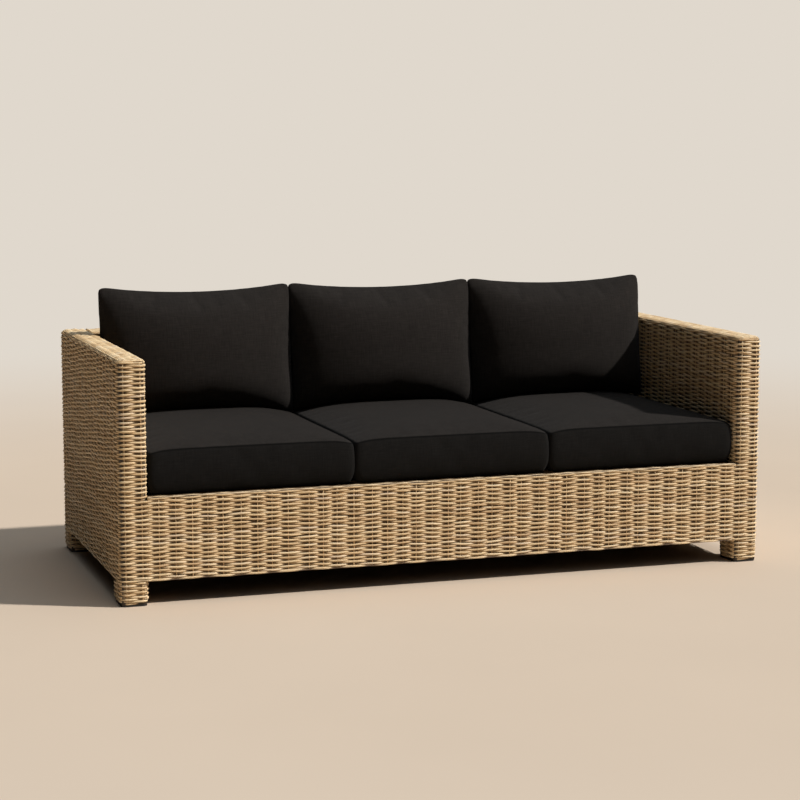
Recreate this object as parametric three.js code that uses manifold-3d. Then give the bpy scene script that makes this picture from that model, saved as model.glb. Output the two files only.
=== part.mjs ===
// A three-seat rattan garden sofa with loose seat and back cushions.
//
// Millimetres, +Z up. X runs along the seat, and -Y is the side that the sitter's feet are on. The origin is
// on the ground under the middle of the sofa. Left and right are as seen from the front.
//
// Woven wicker panels cover four welded frames of aluminium tube, which bolt together: one in each arm, one in
// the back, and the seat frame between them. Elastic webbing is interlaced across the seat frame, and the
// cushions lie loose on it.
import * as THREE from "three";
import { mergeVertices } from "three/addons/utils/BufferGeometryUtils.js";
import Module from "manifold-3d";

const wasm = await Module();
wasm.setup();

// Overall sizes
const sofaLength = 2000;
const sofaDepth = 920;
const armHeight = 700; // the back is as high as the arms
const armWidth = 90;
const backThickness = 90;
const panelHeight = 70; // ground to the lower edge of the woven panels
const deckHeight = 310; // ground to the underside of the seat cushions
const fitGap = 0.3; // left between pieces that touch
const overrun = 5; // how far a cut runs past the face that it opens

// Wicker panels
const wickerWall = 9;
const armCornerRadius = 20;
const armSeamRadius = 16; // on the corner that meets the back panel, and more than the top edge's
const topEdgeRadius = 14;
const apronEdgeRadius = 6;
const lowerLip = 20; // how far the weave turns in under the lowest rails
const upperLip = 20; // how far it turns in over the front rail

// Relief of the weave, which stands out in ribs along its stakes
const ribPitch = 104;
const ribCrest = 24;
const ribFlank = 9; // width of the slope from a rib down to the hollow beside it
const ribRelief = 4;
const ribBorder = 12; // plain edge at the foot and the rim of a panel

// Legs
const legDepth = 115; // along the arm
const legEdgeRadius = 8;

// Frame tubes
const tubeWall = 2;
const tubeCornerRadius = 3;
const railHeight = 30;
const seatRailWidth = 30;
const uprightWidth = 30;
const crossbarWidth = 30;
const crossbarHeight = 25;

// Foot glides
const glideHeight = 5;
const glideInset = 8; // from the faces of the leg
const glideCornerRadius = 12;
const plugHeight = 22;
const plugWall = 3;

// Bolts and the inserts that they screw into
const boltRadius = 4;
const boltHeadRadius = 8;
const boltHeadHeight = 4.5;
const boltHeadCrownRadius = 5;
const boltSocketRadius = 2.9;
const boltSocketDepth = 2.5;
const boltReach = 18; // into the piece behind the one that the head bears on
const boreClearance = 0.5;
const insertWall = 3;
const insertLength = 12;
const armBoltSetback = 145; // from the front and rear ends of the arm's seat rail
const backArmBoltHeight = 190; // above the ground

// Seat webbing
const strapWidth = 60;
const strapThickness = 2;
const strapsPerSeat = 4;
const longStrapCount = 4;
const strapEndGap = 1.5; // from the end of a strap to the edge of its rail
const strapRampLead = 6; // level stretch either side of a crossing

// Cushions
const seats = 3;
const cushionGap = 3;
const seatCushionSetback = 25; // from the front face of the apron
const seatCushionBorder = 130;
const seatCushionCrown = 24;
const seatCushionCornerRadius = 28;
const seatCushionDrawIn = 4;
const backCushionGap = 5;
const backCushionHeight = 420;
const backCushionBorder = 16;
const backCushionCrown = 122;
const backCushionCornerRadius = 22;
const backCushionSideDrawIn = 3;
const backCushionEndDrawIn = 19;
const backCushionTaper = 7; // on each side, from its lower end to its upper end
const backCushionTilt = THREE.MathUtils.degToRad(7);
const backCushionSink = 28; // how far its lower end is pressed in by its own weight
const backCushionPress = 8; // how far it is pressed in where it leans on the back
const cushionRestGap = 0.8;

// Where the pieces lie
const frontFace = -sofaDepth / 2;
const rearFace = sofaDepth / 2;
const innerHalf = sofaLength / 2 - armWidth; // half the clear width between the arms
const backPanelFront = rearFace - backThickness;
const skinDepth = wickerWall + fitGap; // from a woven face to the tube behind it
const railTop = deckHeight - skinDepth;
const postWidth = armWidth - 2 * skinDepth;
const postDepth = legDepth - 2 * skinDepth;
const frameTop = armHeight - skinDepth;
const lowRailBottom = panelHeight + skinDepth;
const betweenArms = innerHalf - fitGap;

// Finishes
const finish = (name, color, roughness, metalness) =>
  Object.assign(new THREE.MeshStandardMaterial({ color, roughness, metalness }), { name });
const wicker = finish("wicker", 0xb89a70, 0.65, 0);
const tubeMetal = finish("frame", 0x4a4238, 0.5, 0.8);
const boltSteel = finish("bolts", 0xa9abad, 0.35, 1);
const nylon = finish("glides", 0x171717, 0.55, 0);
const elastic = finish("webbing", 0x22201e, 0.85, 0);
const cloth = finish("cushion_fabric", 0x1d1b1a, 0.95, 0);

const span = (from, to) => ({ from, to, middle: (from + to) / 2, size: to - from });
const centred = (middle, size) => span(middle - size / 2, middle + size / 2);
const mirrored = (half) => span(-half, half);
const spread = (count, spacing) => Array.from({ length: count }, (_, i) => (i - (count - 1) / 2) * spacing);

// Turns of a flat shape: its own (x, y) and the way it is extruded become these axes of the sofa.
const toYZalongX = new THREE.Matrix4().set(0, 0, 1, 0, 1, 0, 0, 0, 0, 1, 0, 0, 0, 0, 0, 1);
const toXZalongY = new THREE.Matrix4().makeRotationX(Math.PI / 2);

function piece(name, geometry, material) {
  const mesh = new THREE.Mesh(geometry, material);
  mesh.name = name;
  return mesh;
}

function solidOf(geometry) {
  const bare = new THREE.BufferGeometry().setAttribute("position", geometry.getAttribute("position"));
  if (geometry.index) bare.setIndex(geometry.index);
  const merged = mergeVertices(bare);
  const corners = merged.index.array;
  const kept = [];
  for (let i = 0; i < corners.length; i += 3) {
    const [a, b, c] = corners.slice(i, i + 3);
    if (a !== b && b !== c && c !== a) kept.push(a, b, c);
  }
  return new wasm.Manifold(
    new wasm.Mesh({
      numProp: 3,
      vertProperties: merged.attributes.position.array,
      triVerts: new Uint32Array(kept),
    }),
  );
}

function geometryOf(solid) {
  const { vertProperties, triVerts } = solid.getMesh();
  const geometry = new THREE.BufferGeometry();
  geometry.setAttribute("position", new THREE.BufferAttribute(vertProperties, 3));
  geometry.setIndex(new THREE.BufferAttribute(triVerts, 1));
  geometry.computeVertexNormals();
  return geometry;
}

// A closed outline with a radius at each corner, in the order low-low, high-low, high-high, low-high.
function roundedOutline(x, y, radii, steps = 5, Kind = THREE.Shape) {
  const quarter = Math.PI / 2;
  const corners = [[x.from, y.from], [x.to, y.from], [x.to, y.to], [x.from, y.to]];
  const points = corners.flatMap(([cornerX, cornerY], i) => {
    const radius = radii[i];
    const centreX = cornerX === x.from ? x.from + radius : x.to - radius;
    const centreY = cornerY === y.from ? y.from + radius : y.to - radius;
    const count = radius ? steps + 1 : 1;
    return Array.from({ length: count }, (_, k) => {
      const angle = quarter * (i + 2 + k / steps);
      return new THREE.Vector2(centreX + radius * Math.cos(angle), centreY + radius * Math.sin(angle));
    });
  });
  return new Kind(points);
}

const evenRadii = (radius) => [radius, radius, radius, radius];

function prism(outline, z, curveSegments = 5) {
  const geometry = new THREE.ExtrudeGeometry(outline, { depth: z.size, bevelEnabled: false, curveSegments });
  return geometry.translate(0, 0, z.from);
}

function block(x, y, z) {
  return new THREE.BoxGeometry(x.size, y.size, z.size).translate(x.middle, y.middle, z.middle);
}

// A prism whose top or bottom edge is rounded over by the given radius.
function edgedPrism(outline, z, radius, roundedEnd) {
  const geometry = new THREE.ExtrudeGeometry(outline, {
    depth: z.size,
    bevelThickness: radius,
    bevelSize: radius,
    bevelOffset: -radius,
    bevelSegments: 3,
    curveSegments: 5,
  });
  geometry.translate(0, 0, roundedEnd === "top" ? z.from - radius : z.from + radius);
  geometry.computeBoundingBox();
  const { min, max } = geometry.boundingBox;
  const across = span(min.x - overrun, max.x + overrun);
  const along = span(min.y - overrun, max.y + overrun);
  const waste =
    roundedEnd === "top"
      ? span(min.z - overrun, z.from)
      : span(z.to, max.z + overrun);
  return solidOf(geometry).subtract(solidOf(block(across, along, waste)));
}

// A bar of rectangular section that fills the box of three spans and runs along the named axis.
function bar(axis, x, y, z, cornerRadius) {
  const [wide, high, long] = { x: [y, z, x], y: [x, z, y], z: [x, y, z] }[axis];
  const section = roundedOutline(centred(0, wide.size), centred(0, high.size), evenRadii(cornerRadius), 2);
  const geometry = prism(section, centred(0, long.size));
  if (axis === "x") geometry.applyMatrix4(toYZalongX);
  if (axis === "y") geometry.applyMatrix4(toXZalongY);
  return solidOf(geometry.translate(x.middle, y.middle, z.middle));
}

// Tubes welded into one frame. Their bores run into one another, and out at the open ends.
function weldedTubes(tubes) {
  const outsides = tubes.map(({ axis, x, y, z }) => bar(axis, x, y, z, tubeCornerRadius));
  const bores = tubes.map((member) => {
    const bore = { ...member };
    for (const side of ["x", "y", "z"]) {
      const change = side === member.axis ? overrun : -tubeWall;
      bore[side] = span(member[side].from - change, member[side].to + change);
    }
    return bar(bore.axis, bore.x, bore.y, bore.z, tubeCornerRadius - tubeWall);
  });
  const join = (solids) => solids.reduce((whole, next) => whole.add(next));
  return join(outsides).subtract(join(bores));
}

// A round bar between two points of one axis, for bores, bosses and shanks.
function roundBar(axis, at, run, radius) {
  const bar = new THREE.CylinderGeometry(radius, radius, run.size, 20);
  if (axis === "x") bar.rotateZ(Math.PI / 2);
  const place = { ...at, [axis]: run.middle };
  return solidOf(bar.translate(place.x, place.y, place.z));
}

// Turns for a shape that looks up, whose own x follows a panel and whose y runs up or across it
const quarterTurn = 90; // degrees
const lookingUp = (solid) => solid;
const lookingUpSideways = (solid) => solid.mirror([1, -1, 0]); // x and y change places
const lookingForward = (solid) => solid.rotate([quarterTurn, 0, 0]);
const lookingBackward = (solid) => lookingForward(solid).mirror([0, 1, 0]);
const lookingOut = (solid) => solid.rotate([quarterTurn, 0, quarterTurn]);
const lookingIn = (solid) => lookingOut(solid).mirror([1, 0, 0]);

// Cuts the hollows between the ribs of a woven face, which follow one another along it and run across it.
function withRibs(shell, look, face, along, across) {
  const count = Math.max(1, Math.round(along.size / ribPitch));
  const pitch = along.size / count;
  for (const offset of spread(count, pitch)) {
    const open = centred(along.middle + offset, pitch - ribCrest);
    const hollow = block(open, across, mirrored(ribRelief));
    const places = hollow.getAttribute("position");
    for (let i = 0; i < places.count; i++) {
      const [x, y] = [places.getX(i), places.getY(i)];
      const widening = ribFlank * Math.sign(places.getZ(i));
      places.setX(i, x + widening * Math.sign(x - open.middle));
      places.setY(i, y + widening * Math.sign(y - across.middle));
    }
    shell = shell.subtract(look(solidOf(hollow)).translate(face));
  }
  return shell;
}

// Frame tube spans that several pieces share
const coveredX = span(skinDepth, armWidth - skinDepth);
const frontPostY = span(frontFace + skinDepth, frontFace + skinDepth + postDepth);
const rearPostY = span(rearFace - skinDepth - postDepth, rearFace - skinDepth);
const postsZ = span(glideHeight + fitGap, frameTop);
const weldLap = tubeWall / 2; // how far a tube's end runs into the wall that it is welded to
const armRailY = span(frontPostY.to - weldLap, rearPostY.from + weldLap);
const topRailZ = span(frameTop - railHeight, frameTop);
const seatRailZ = span(railTop - railHeight, railTop);
const lowRailZ = span(lowRailBottom, lowRailBottom + railHeight);
const frontRailY = span(frontFace + skinDepth, frontFace + skinDepth + seatRailWidth);
const rearRailY = span(backPanelFront - fitGap - seatRailWidth, backPanelFront - fitGap);
const backTubeY = span(backPanelFront + skinDepth, rearFace - skinDepth);
const sideRailX = span(betweenArms - seatRailWidth, betweenArms);
const endUprightX = span(betweenArms - uprightWidth, betweenArms);
const quarterX = innerHalf / 2; // where the inner uprights of the back and the apron stand
const jointX = innerHalf / seats; // where two seat cushions meet
const armBoltY = [armRailY.from + armBoltSetback, armRailY.to - armBoltSetback];
const boreRadius = boltRadius + boreClearance;

// One arm, modelled on the right: its own x starts at the inner face and grows outwards.
function armWicker(side) {
  const whole = { x: span(0, armWidth), y: mirrored(sofaDepth / 2) };
  const split = railTop + fitGap;
  const [sharp, round] = [0, armCornerRadius];
  const upper = edgedPrism(
    roundedOutline(whole.x, whole.y, [round, round, round, armSeamRadius]),
    span(split, armHeight),
    topEdgeRadius,
    "top",
  );
  const lower = solidOf(
    prism(roundedOutline(whole.x, whole.y, [sharp, round, round, sharp]), span(panelHeight, split)),
  );
  const inside = {
    x: span(wickerWall, armWidth - wickerWall),
    y: span(frontFace + wickerWall, rearFace - wickerWall),
  };
  const cavity = prism(
    roundedOutline(inside.x, inside.y, evenRadii(tubeCornerRadius), 2),
    span(panelHeight + wickerWall, armHeight - wickerWall),
  );
  const floor = span(panelHeight - overrun, panelHeight + wickerWall + overrun);
  const legHoles = [
    span(inside.y.from, frontPostY.to + fitGap),
    span(rearPostY.from - fitGap, inside.y.to),
  ].map((y) => block(inside.x, y, floor));
  const slot = block(span(inside.x.from, inside.x.to - lowerLip), inside.y, floor);
  const boltingSide = block(span(-overrun, inside.x.from + fitGap), inside.y, span(floor.from, split));
  let shell = upper.add(lower);
  for (const cut of [cavity, ...legHoles, slot, boltingSide]) shell = shell.subtract(solidOf(cut));
  const ribsY = span(frontFace + armCornerRadius, rearFace - armCornerRadius);
  const besideSeatY = span(ribsY.from, backPanelFront - armSeamRadius);
  const ribsX = span(armCornerRadius, armWidth - armCornerRadius);
  const ribsZ = span(panelHeight + ribBorder, armHeight - topEdgeRadius);
  const besideSeatZ = span(deckHeight, ribsZ.to);
  const topX = span(topEdgeRadius, armWidth - topEdgeRadius);
  shell = withRibs(shell, lookingOut, [armWidth, 0, 0], ribsY, ribsZ);
  shell = withRibs(shell, lookingIn, [0, 0, 0], besideSeatY, besideSeatZ);
  shell = withRibs(shell, lookingForward, [0, frontFace, 0], ribsX, ribsZ);
  shell = withRibs(shell, lookingBackward, [0, rearFace, 0], ribsX, ribsZ);
  shell = withRibs(shell, lookingUpSideways, [0, 0, armHeight], ribsY, topX);
  return piece(`${side}_arm_wicker`, geometryOf(shell), wicker);
}

function armFrame(side) {
  const seatRailX = span(0, armWidth - skinDepth); // it comes through to the face that the seat frame bears on
  let frame = weldedTubes([
    { axis: "z", x: coveredX, y: frontPostY, z: postsZ },
    { axis: "z", x: coveredX, y: rearPostY, z: postsZ },
    { axis: "y", x: coveredX, y: armRailY, z: topRailZ },
    { axis: "y", x: seatRailX, y: armRailY, z: seatRailZ },
    { axis: "y", x: coveredX, y: armRailY, z: lowRailZ },
  ]);
  const inserts = armBoltY.map((y) => ({ at: { y, z: seatRailZ.middle }, face: seatRailX.from }));
  inserts.push({ at: { y: backTubeY.middle, z: backArmBoltHeight }, face: coveredX.from });
  for (const { at, face } of inserts) frame = withInsert(frame, "x", at, face);
  return piece(`${side}_arm_frame`, geometryOf(frame), tubeMetal);
}

// A threaded insert behind the wall that starts at the given face, with its bore open through that wall.
function withInsert(frame, axis, at, face) {
  const insert = span(face + weldLap, face + tubeWall + insertLength);
  return frame
    .add(roundBar(axis, at, insert, boreRadius + insertWall))
    .subtract(roundBar(axis, at, span(face - overrun, insert.to + overrun), boreRadius));
}

// A spacer that stands out from a tube's far face, with a bore through it and both of the tube's walls.
function withSpacer(frame, axis, at, through, end) {
  return frame
    .add(roundBar(axis, at, span(through.to - weldLap, end), boreRadius + insertWall))
    .subtract(roundBar(axis, at, span(through.from - overrun, end + overrun), boreRadius));
}

function arm(side, sign) {
  const group = new THREE.Group();
  group.position.x = sign * innerHalf;
  group.scale.x = sign;
  group.add(armWicker(side), armFrame(side));
  for (const [end, postY] of [["front", frontPostY], ["rear", rearPostY]]) {
    const leg = new THREE.Group();
    leg.position.set(coveredX.middle, postY.middle, 0);
    leg.add(legWrap(`${side}_${end}_leg_wrap`), footGlide(`${side}_${end}_foot_glide`));
    group.add(leg);
  }
  return group;
}

// The weave carried down round the foot of a post, rounded under at the ground.
function legWrap(name) {
  const [x, y] = [armWidth, legDepth].map((size) => centred(0, size));
  const [boreX, boreY] = [armWidth, legDepth].map((size) => centred(0, size - 2 * wickerWall));
  const z = span(glideHeight, panelHeight - fitGap);
  const sleeve = edgedPrism(roundedOutline(x, y, evenRadii(armCornerRadius)), z, legEdgeRadius, "bottom");
  const bore = prism(
    roundedOutline(boreX, boreY, evenRadii(tubeCornerRadius), 2),
    span(z.from - overrun, z.to + overrun),
  );
  return piece(name, geometryOf(sleeve.subtract(solidOf(bore))), wicker);
}

// A moulded nylon foot: a pad, and a plug of four cells that fills the open end of the post.
function footGlide(name) {
  const [padX, padY] = [armWidth, legDepth].map((size) => centred(0, size - 2 * glideInset));
  const [plugX, plugY] = [postWidth, postDepth].map((size) => centred(0, size - 2 * (tubeWall + fitGap)));
  const pad = prism(roundedOutline(padX, padY, evenRadii(glideCornerRadius), 3), span(0, glideHeight));
  const rise = span(glideHeight / 2, glideHeight + plugHeight);
  let foot = solidOf(pad).add(solidOf(prism(roundedOutline(plugX, plugY, evenRadii(plugWall), 2), rise)));
  const cells = (plug) => {
    const size = (plug.size - 3 * plugWall) / 2;
    return [-1, 1].map((sign) => centred((sign * (size + plugWall)) / 2, size));
  };
  for (const x of cells(plugX))
    for (const y of cells(plugY))
      foot = foot.subtract(solidOf(block(x, y, span(glideHeight, rise.to + overrun))));
  return piece(name, geometryOf(foot), nylon);
}

// A panel folded over its rails, seen from the end: y is depth and z is height.
function apronWicker() {
  const top = deckHeight - fitGap;
  const radius = apronEdgeRadius;
  const [overEdge, underEdge] = [frontFace + upperLip, frontFace + wickerWall + lowerLip];
  const inner = frontFace + wickerWall;
  const profile = new THREE.Shape();
  profile.moveTo(overEdge, top);
  profile.lineTo(frontFace + radius, top);
  profile.absarc(frontFace + radius, top - radius, radius, Math.PI / 2, Math.PI, false);
  profile.lineTo(frontFace, panelHeight + radius);
  profile.absarc(frontFace + radius, panelHeight + radius, radius, Math.PI, 1.5 * Math.PI, false);
  profile.lineTo(underEdge, panelHeight);
  profile.lineTo(underEdge, panelHeight + wickerWall);
  profile.lineTo(inner, panelHeight + wickerWall);
  profile.lineTo(inner, railTop + fitGap);
  profile.lineTo(overEdge, railTop + fitGap);
  const folded = solidOf(prism(profile, mirrored(betweenArms), 3).applyMatrix4(toYZalongX));
  const ribsZ = span(panelHeight + ribBorder, top - ribBorder);
  const panel = withRibs(folded, lookingForward, [0, frontFace, 0], mirrored(betweenArms), ribsZ);
  return piece("front_apron_wicker", geometryOf(panel), wicker);
}

function backWicker() {
  const radius = topEdgeRadius;
  const foot = panelHeight + apronEdgeRadius;
  const [frontInner, rearInner] = [backPanelFront + wickerWall, rearFace - wickerWall];
  const frontLow = railTop + fitGap;
  const ceiling = armHeight - wickerWall;
  const profile = new THREE.Shape();
  profile.moveTo(backPanelFront, frontLow);
  profile.lineTo(frontInner, frontLow);
  profile.lineTo(frontInner, ceiling);
  profile.lineTo(rearInner, ceiling);
  profile.lineTo(rearInner, panelHeight + wickerWall);
  profile.lineTo(rearInner - lowerLip, panelHeight + wickerWall);
  profile.lineTo(rearInner - lowerLip, panelHeight);
  profile.lineTo(rearFace - apronEdgeRadius, panelHeight);
  profile.absarc(rearFace - apronEdgeRadius, foot, apronEdgeRadius, -Math.PI / 2, 0, false);
  profile.lineTo(rearFace, armHeight - radius);
  profile.absarc(rearFace - radius, armHeight - radius, radius, 0, Math.PI / 2, false);
  profile.lineTo(backPanelFront + radius, armHeight);
  profile.absarc(backPanelFront + radius, armHeight - radius, radius, Math.PI / 2, Math.PI, false);
  const ribsX = mirrored(betweenArms);
  const ribsZ = span(panelHeight + ribBorder, armHeight - radius);
  const topY = span(backPanelFront + radius, rearFace - radius);
  let panel = solidOf(prism(profile, ribsX, 4).applyMatrix4(toYZalongX));
  panel = withRibs(panel, lookingBackward, [0, rearFace, 0], ribsX, ribsZ);
  panel = withRibs(panel, lookingForward, [0, backPanelFront, 0], ribsX, span(deckHeight, ribsZ.to));
  panel = withRibs(panel, lookingUp, [0, 0, armHeight], ribsX, topY);
  return piece("back_wicker", geometryOf(panel), wicker);
}

const flipped = (x) => span(-x.to, -x.from);

function backFrame() {
  const upright = span(lowRailZ.to - weldLap, topRailZ.from + weldLap);
  const uprights = [-quarterX, quarterX].map((x) => centred(x, uprightWidth));
  uprights.push(endUprightX, flipped(endUprightX));
  let frame = weldedTubes([
    { axis: "x", x: mirrored(betweenArms), y: backTubeY, z: topRailZ },
    { axis: "x", x: mirrored(betweenArms), y: backTubeY, z: lowRailZ },
    ...uprights.map((x) => ({ axis: "z", x, y: backTubeY, z: upright })),
  ]);
  for (const x of [-quarterX, quarterX])
    frame = withInsert(frame, "y", { x, z: seatRailZ.middle }, backTubeY.from);
  const armSide = { y: backTubeY.middle, z: backArmBoltHeight };
  const reach = innerHalf + skinDepth - fitGap;
  frame = withSpacer(frame, "x", armSide, endUprightX, reach);
  frame = withSpacer(frame.mirror([1, 0, 0]), "x", armSide, endUprightX, reach);
  return piece("back_frame", geometryOf(frame), tubeMetal);
}

function seatFrame() {
  const railsX = mirrored(sideRailX.from + weldLap);
  const railsY = span(frontRailY.from, rearRailY.to);
  const crossbarZ = span(railTop - crossbarHeight, railTop);
  const crossbarY = span(frontRailY.to - weldLap, rearRailY.from + weldLap);
  const uprightZ = span(lowRailZ.to - weldLap, seatRailZ.from + weldLap);
  const uprights = [-quarterX, quarterX].map((x) => centred(x, uprightWidth));
  uprights.push(endUprightX, flipped(endUprightX));
  let frame = weldedTubes([
    { axis: "y", x: sideRailX, y: railsY, z: seatRailZ },
    { axis: "y", x: flipped(sideRailX), y: railsY, z: seatRailZ },
    { axis: "x", x: railsX, y: frontRailY, z: seatRailZ },
    { axis: "x", x: railsX, y: rearRailY, z: seatRailZ },
    ...[-jointX, jointX].map((x) => ({ axis: "y", x: centred(x, crossbarWidth), y: crossbarY, z: crossbarZ })),
    { axis: "x", x: mirrored(betweenArms), y: frontRailY, z: lowRailZ },
    ...uprights.map((x) => ({ axis: "z", x, y: frontRailY, z: uprightZ })),
  ]);
  for (const x of [-quarterX, quarterX])
    frame = withSpacer(frame, "y", { x, z: seatRailZ.middle }, rearRailY, backTubeY.from - fitGap);
  const across = mirrored(betweenArms + overrun);
  const betweenRails = solidOf(block(mirrored(sideRailX.from - overrun), centred(0, sofaDepth), seatRailZ));
  for (const y of armBoltY)
    frame = frame.subtract(roundBar("x", { y, z: seatRailZ.middle }, across, boreRadius).subtract(betweenRails));
  return piece("seat_frame", geometryOf(frame), tubeMetal);
}

// A button-head bolt with a hexagon socket: its head's seat is at zero and its shank runs up +Y.
function boltGeometry(grip) {
  const shoulder = boltHeadHeight / 3;
  const profile = [
    new THREE.Vector2(0, grip + boltReach),
    new THREE.Vector2(boltRadius, grip + boltReach),
    new THREE.Vector2(boltRadius, 0),
    new THREE.Vector2(boltHeadRadius, 0),
    new THREE.Vector2(boltHeadRadius, -shoulder),
    new THREE.Vector2(boltHeadCrownRadius, -boltHeadHeight),
    new THREE.Vector2(0, -boltHeadHeight),
  ].reverse();
  const socket = new THREE.CylinderGeometry(boltSocketRadius, boltSocketRadius, boltSocketDepth + overrun, 6);
  socket.translate(0, -boltHeadHeight + boltSocketDepth - (boltSocketDepth + overrun) / 2, 0);
  const turned = solidOf(new THREE.LatheGeometry(profile, 16));
  return geometryOf(turned.subtract(solidOf(socket)));
}

function bolts() {
  const made = [];
  const add = (name, grip, position, turn) => {
    const bolt = piece(name, boltGeometry(grip), boltSteel);
    bolt.position.set(...position);
    bolt.rotation.z = turn;
    made.push(bolt);
  };
  for (const [side, sign] of [["left", -1], ["right", 1]]) {
    const outward = (-sign * Math.PI) / 2;
    const headX = sign * (sideRailX.from - fitGap);
    ["front", "rear"].forEach((end, i) => {
      const place = [headX, armBoltY[i], seatRailZ.middle];
      add(`${side}_${end}_arm_bolt`, sideRailX.size + fitGap, place, outward);
    });
    const backPlace = [sign * (endUprightX.from - fitGap), backTubeY.middle, backArmBoltHeight];
    add(`${side}_back_to_arm_bolt`, uprightWidth + skinDepth, backPlace, outward);
    const grip = backTubeY.from - rearRailY.from;
    add(`${side}_back_to_seat_bolt`, grip, [sign * quarterX, rearRailY.from - fitGap, seatRailZ.middle], 0);
  }
  return made;
}

// Webbing levels: the ends lie on the rails, and straps pass over and under each other between them.
const overLevel = deckHeight - fitGap - strapThickness / 2;
const underLevel = overLevel - strapThickness - fitGap;
const endLevel = railTop + fitGap + strapThickness / 2;
const seatPitch = (2 * innerHalf) / seats;
const deckX = mirrored(sideRailX.from);
const deckY = span(frontRailY.to, rearRailY.from);
const shortStrapCount = seats * strapsPerSeat;
const shortStrapX = spread(shortStrapCount, deckX.size / shortStrapCount);
const longStrapY = spread(longStrapCount, deckY.size / longStrapCount).map((offset) => deckY.middle + offset);

// A strap seen from the side: level on its rails and at every crossing, and sloping between them.
function strapGeometry(reach, railEdges, crossings) {
  const line = [[reach.from, endLevel], [railEdges.from, endLevel]];
  for (const { at, over } of crossings) {
    const level = over ? overLevel : underLevel;
    const half = strapWidth / 2 + strapRampLead;
    line.push([at - half, level], [at + half, level]);
  }
  line.push([railEdges.to, endLevel], [reach.to, endLevel]);
  const half = strapThickness / 2;
  const upper = line.map(([s, z]) => new THREE.Vector2(s, z + half));
  const lower = line.map(([s, z]) => new THREE.Vector2(s, z - half)).reverse();
  return prism(new THREE.Shape([...lower, ...upper].reverse()), centred(0, strapWidth));
}

function webbing() {
  const shortReach = span(frontFace + upperLip + strapEndGap, rearRailY.to - strapEndGap);
  const frontToBack = shortStrapX.map((x, i) => {
    const crossings = longStrapY.map((at, j) => ({ at, over: (i + j) % 2 === 0 }));
    const strap = strapGeometry(shortReach, deckY, crossings).applyMatrix4(toYZalongX);
    const mesh = piece(`webbing_short_${i + 1}`, strap, elastic);
    mesh.position.x = x;
    return mesh;
  });
  const longReach = mirrored(sideRailX.to - strapEndGap);
  const sideToSide = longStrapY.map((y, j) => {
    const crossings = shortStrapX.map((at, i) => ({ at, over: (i + j) % 2 === 1 }));
    const strap = strapGeometry(longReach, deckX, crossings).applyMatrix4(toXZalongY);
    const mesh = piece(`webbing_long_${j + 1}`, strap, elastic);
    mesh.position.y = y;
    return mesh;
  });
  return [...frontToBack, ...sideToSide];
}

// A padded block, from a box whose grid is drawn out to the cushion's plan. Its plan corners are rounded,
// its sides are drawn in between them, and each face is crowned.
function cushionPoint(form, u, v, w) {
  const [halfWidth, halfDepth] = [form.width / 2, form.depth / 2];
  let x = halfWidth * u;
  let y = halfDepth * v;
  const over = [Math.abs(x) - halfWidth + form.cornerRadius, Math.abs(y) - halfDepth + form.cornerRadius];
  if (over[0] > 0 && over[1] > 0) {
    const share = Math.max(...over) / Math.hypot(...over);
    x = Math.sign(x) * (halfWidth - form.cornerRadius + over[0] * share);
    y = Math.sign(y) * (halfDepth - form.cornerRadius + over[1] * share);
  }
  x -= u * (form.sideDrawIn * (1 - v * v) + (form.taper * (1 + v)) / 2);
  y -= v * form.endDrawIn * (1 - u * u);
  const dome = ((1 - Math.abs(u) ** form.domePower) * (1 - Math.abs(v) ** form.domePower)) ** form.edgePower;
  const crown = w > 0 ? form.crownAbove : form.crownBelow;
  return new THREE.Vector3(x, y, (w * form.border) / 2 + w * crown * dome);
}

function cushionGeometry(form) {
  const box = new THREE.BoxGeometry(2, 2, 2, ...form.segments);
  const grid = new THREE.BufferGeometry().setAttribute("position", box.getAttribute("position"));
  grid.setIndex(box.index);
  const geometry = mergeVertices(grid);
  const places = geometry.getAttribute("position");
  const toEdge = (share) => Math.sin((share * Math.PI) / 2); // closer grid lines near the seams
  for (let i = 0; i < places.count; i++) {
    const u = toEdge(places.getX(i));
    const v = toEdge(places.getY(i));
    const point = form.settle(cushionPoint(form, u, v, places.getZ(i)));
    places.setXYZ(i, point.x, point.y, point.z);
  }
  geometry.computeVertexNormals();
  return geometry;
}

const seatCushionDepth = backPanelFront - cushionGap - frontFace - seatCushionSetback;
const seatCushionForm = {
  width: (2 * innerHalf - (seats + 1) * cushionGap) / seats,
  depth: seatCushionDepth,
  border: seatCushionBorder,
  crownAbove: seatCushionCrown,
  crownBelow: 0,
  cornerRadius: seatCushionCornerRadius,
  sideDrawIn: seatCushionDrawIn,
  endDrawIn: seatCushionDrawIn,
  taper: 0,
  domePower: 2.6,
  edgePower: 0.8,
  segments: [12, 14, 2],
  settle: (point) => point,
};
const seatCushionY = frontFace + seatCushionSetback + seatCushionDepth / 2;
const seatCushionZ = deckHeight + seatCushionBorder / 2;

// The height of a seat cushion's crowned top, at a place measured from its middle.
function seatTop(x, y) {
  const u = THREE.MathUtils.clamp((2 * x) / seatCushionForm.width, -1, 1);
  const v = THREE.MathUtils.clamp((2 * (y - seatCushionY)) / seatCushionDepth, -1, 1);
  return seatCushionZ + cushionPoint(seatCushionForm, u, v, 1).z;
}

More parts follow.
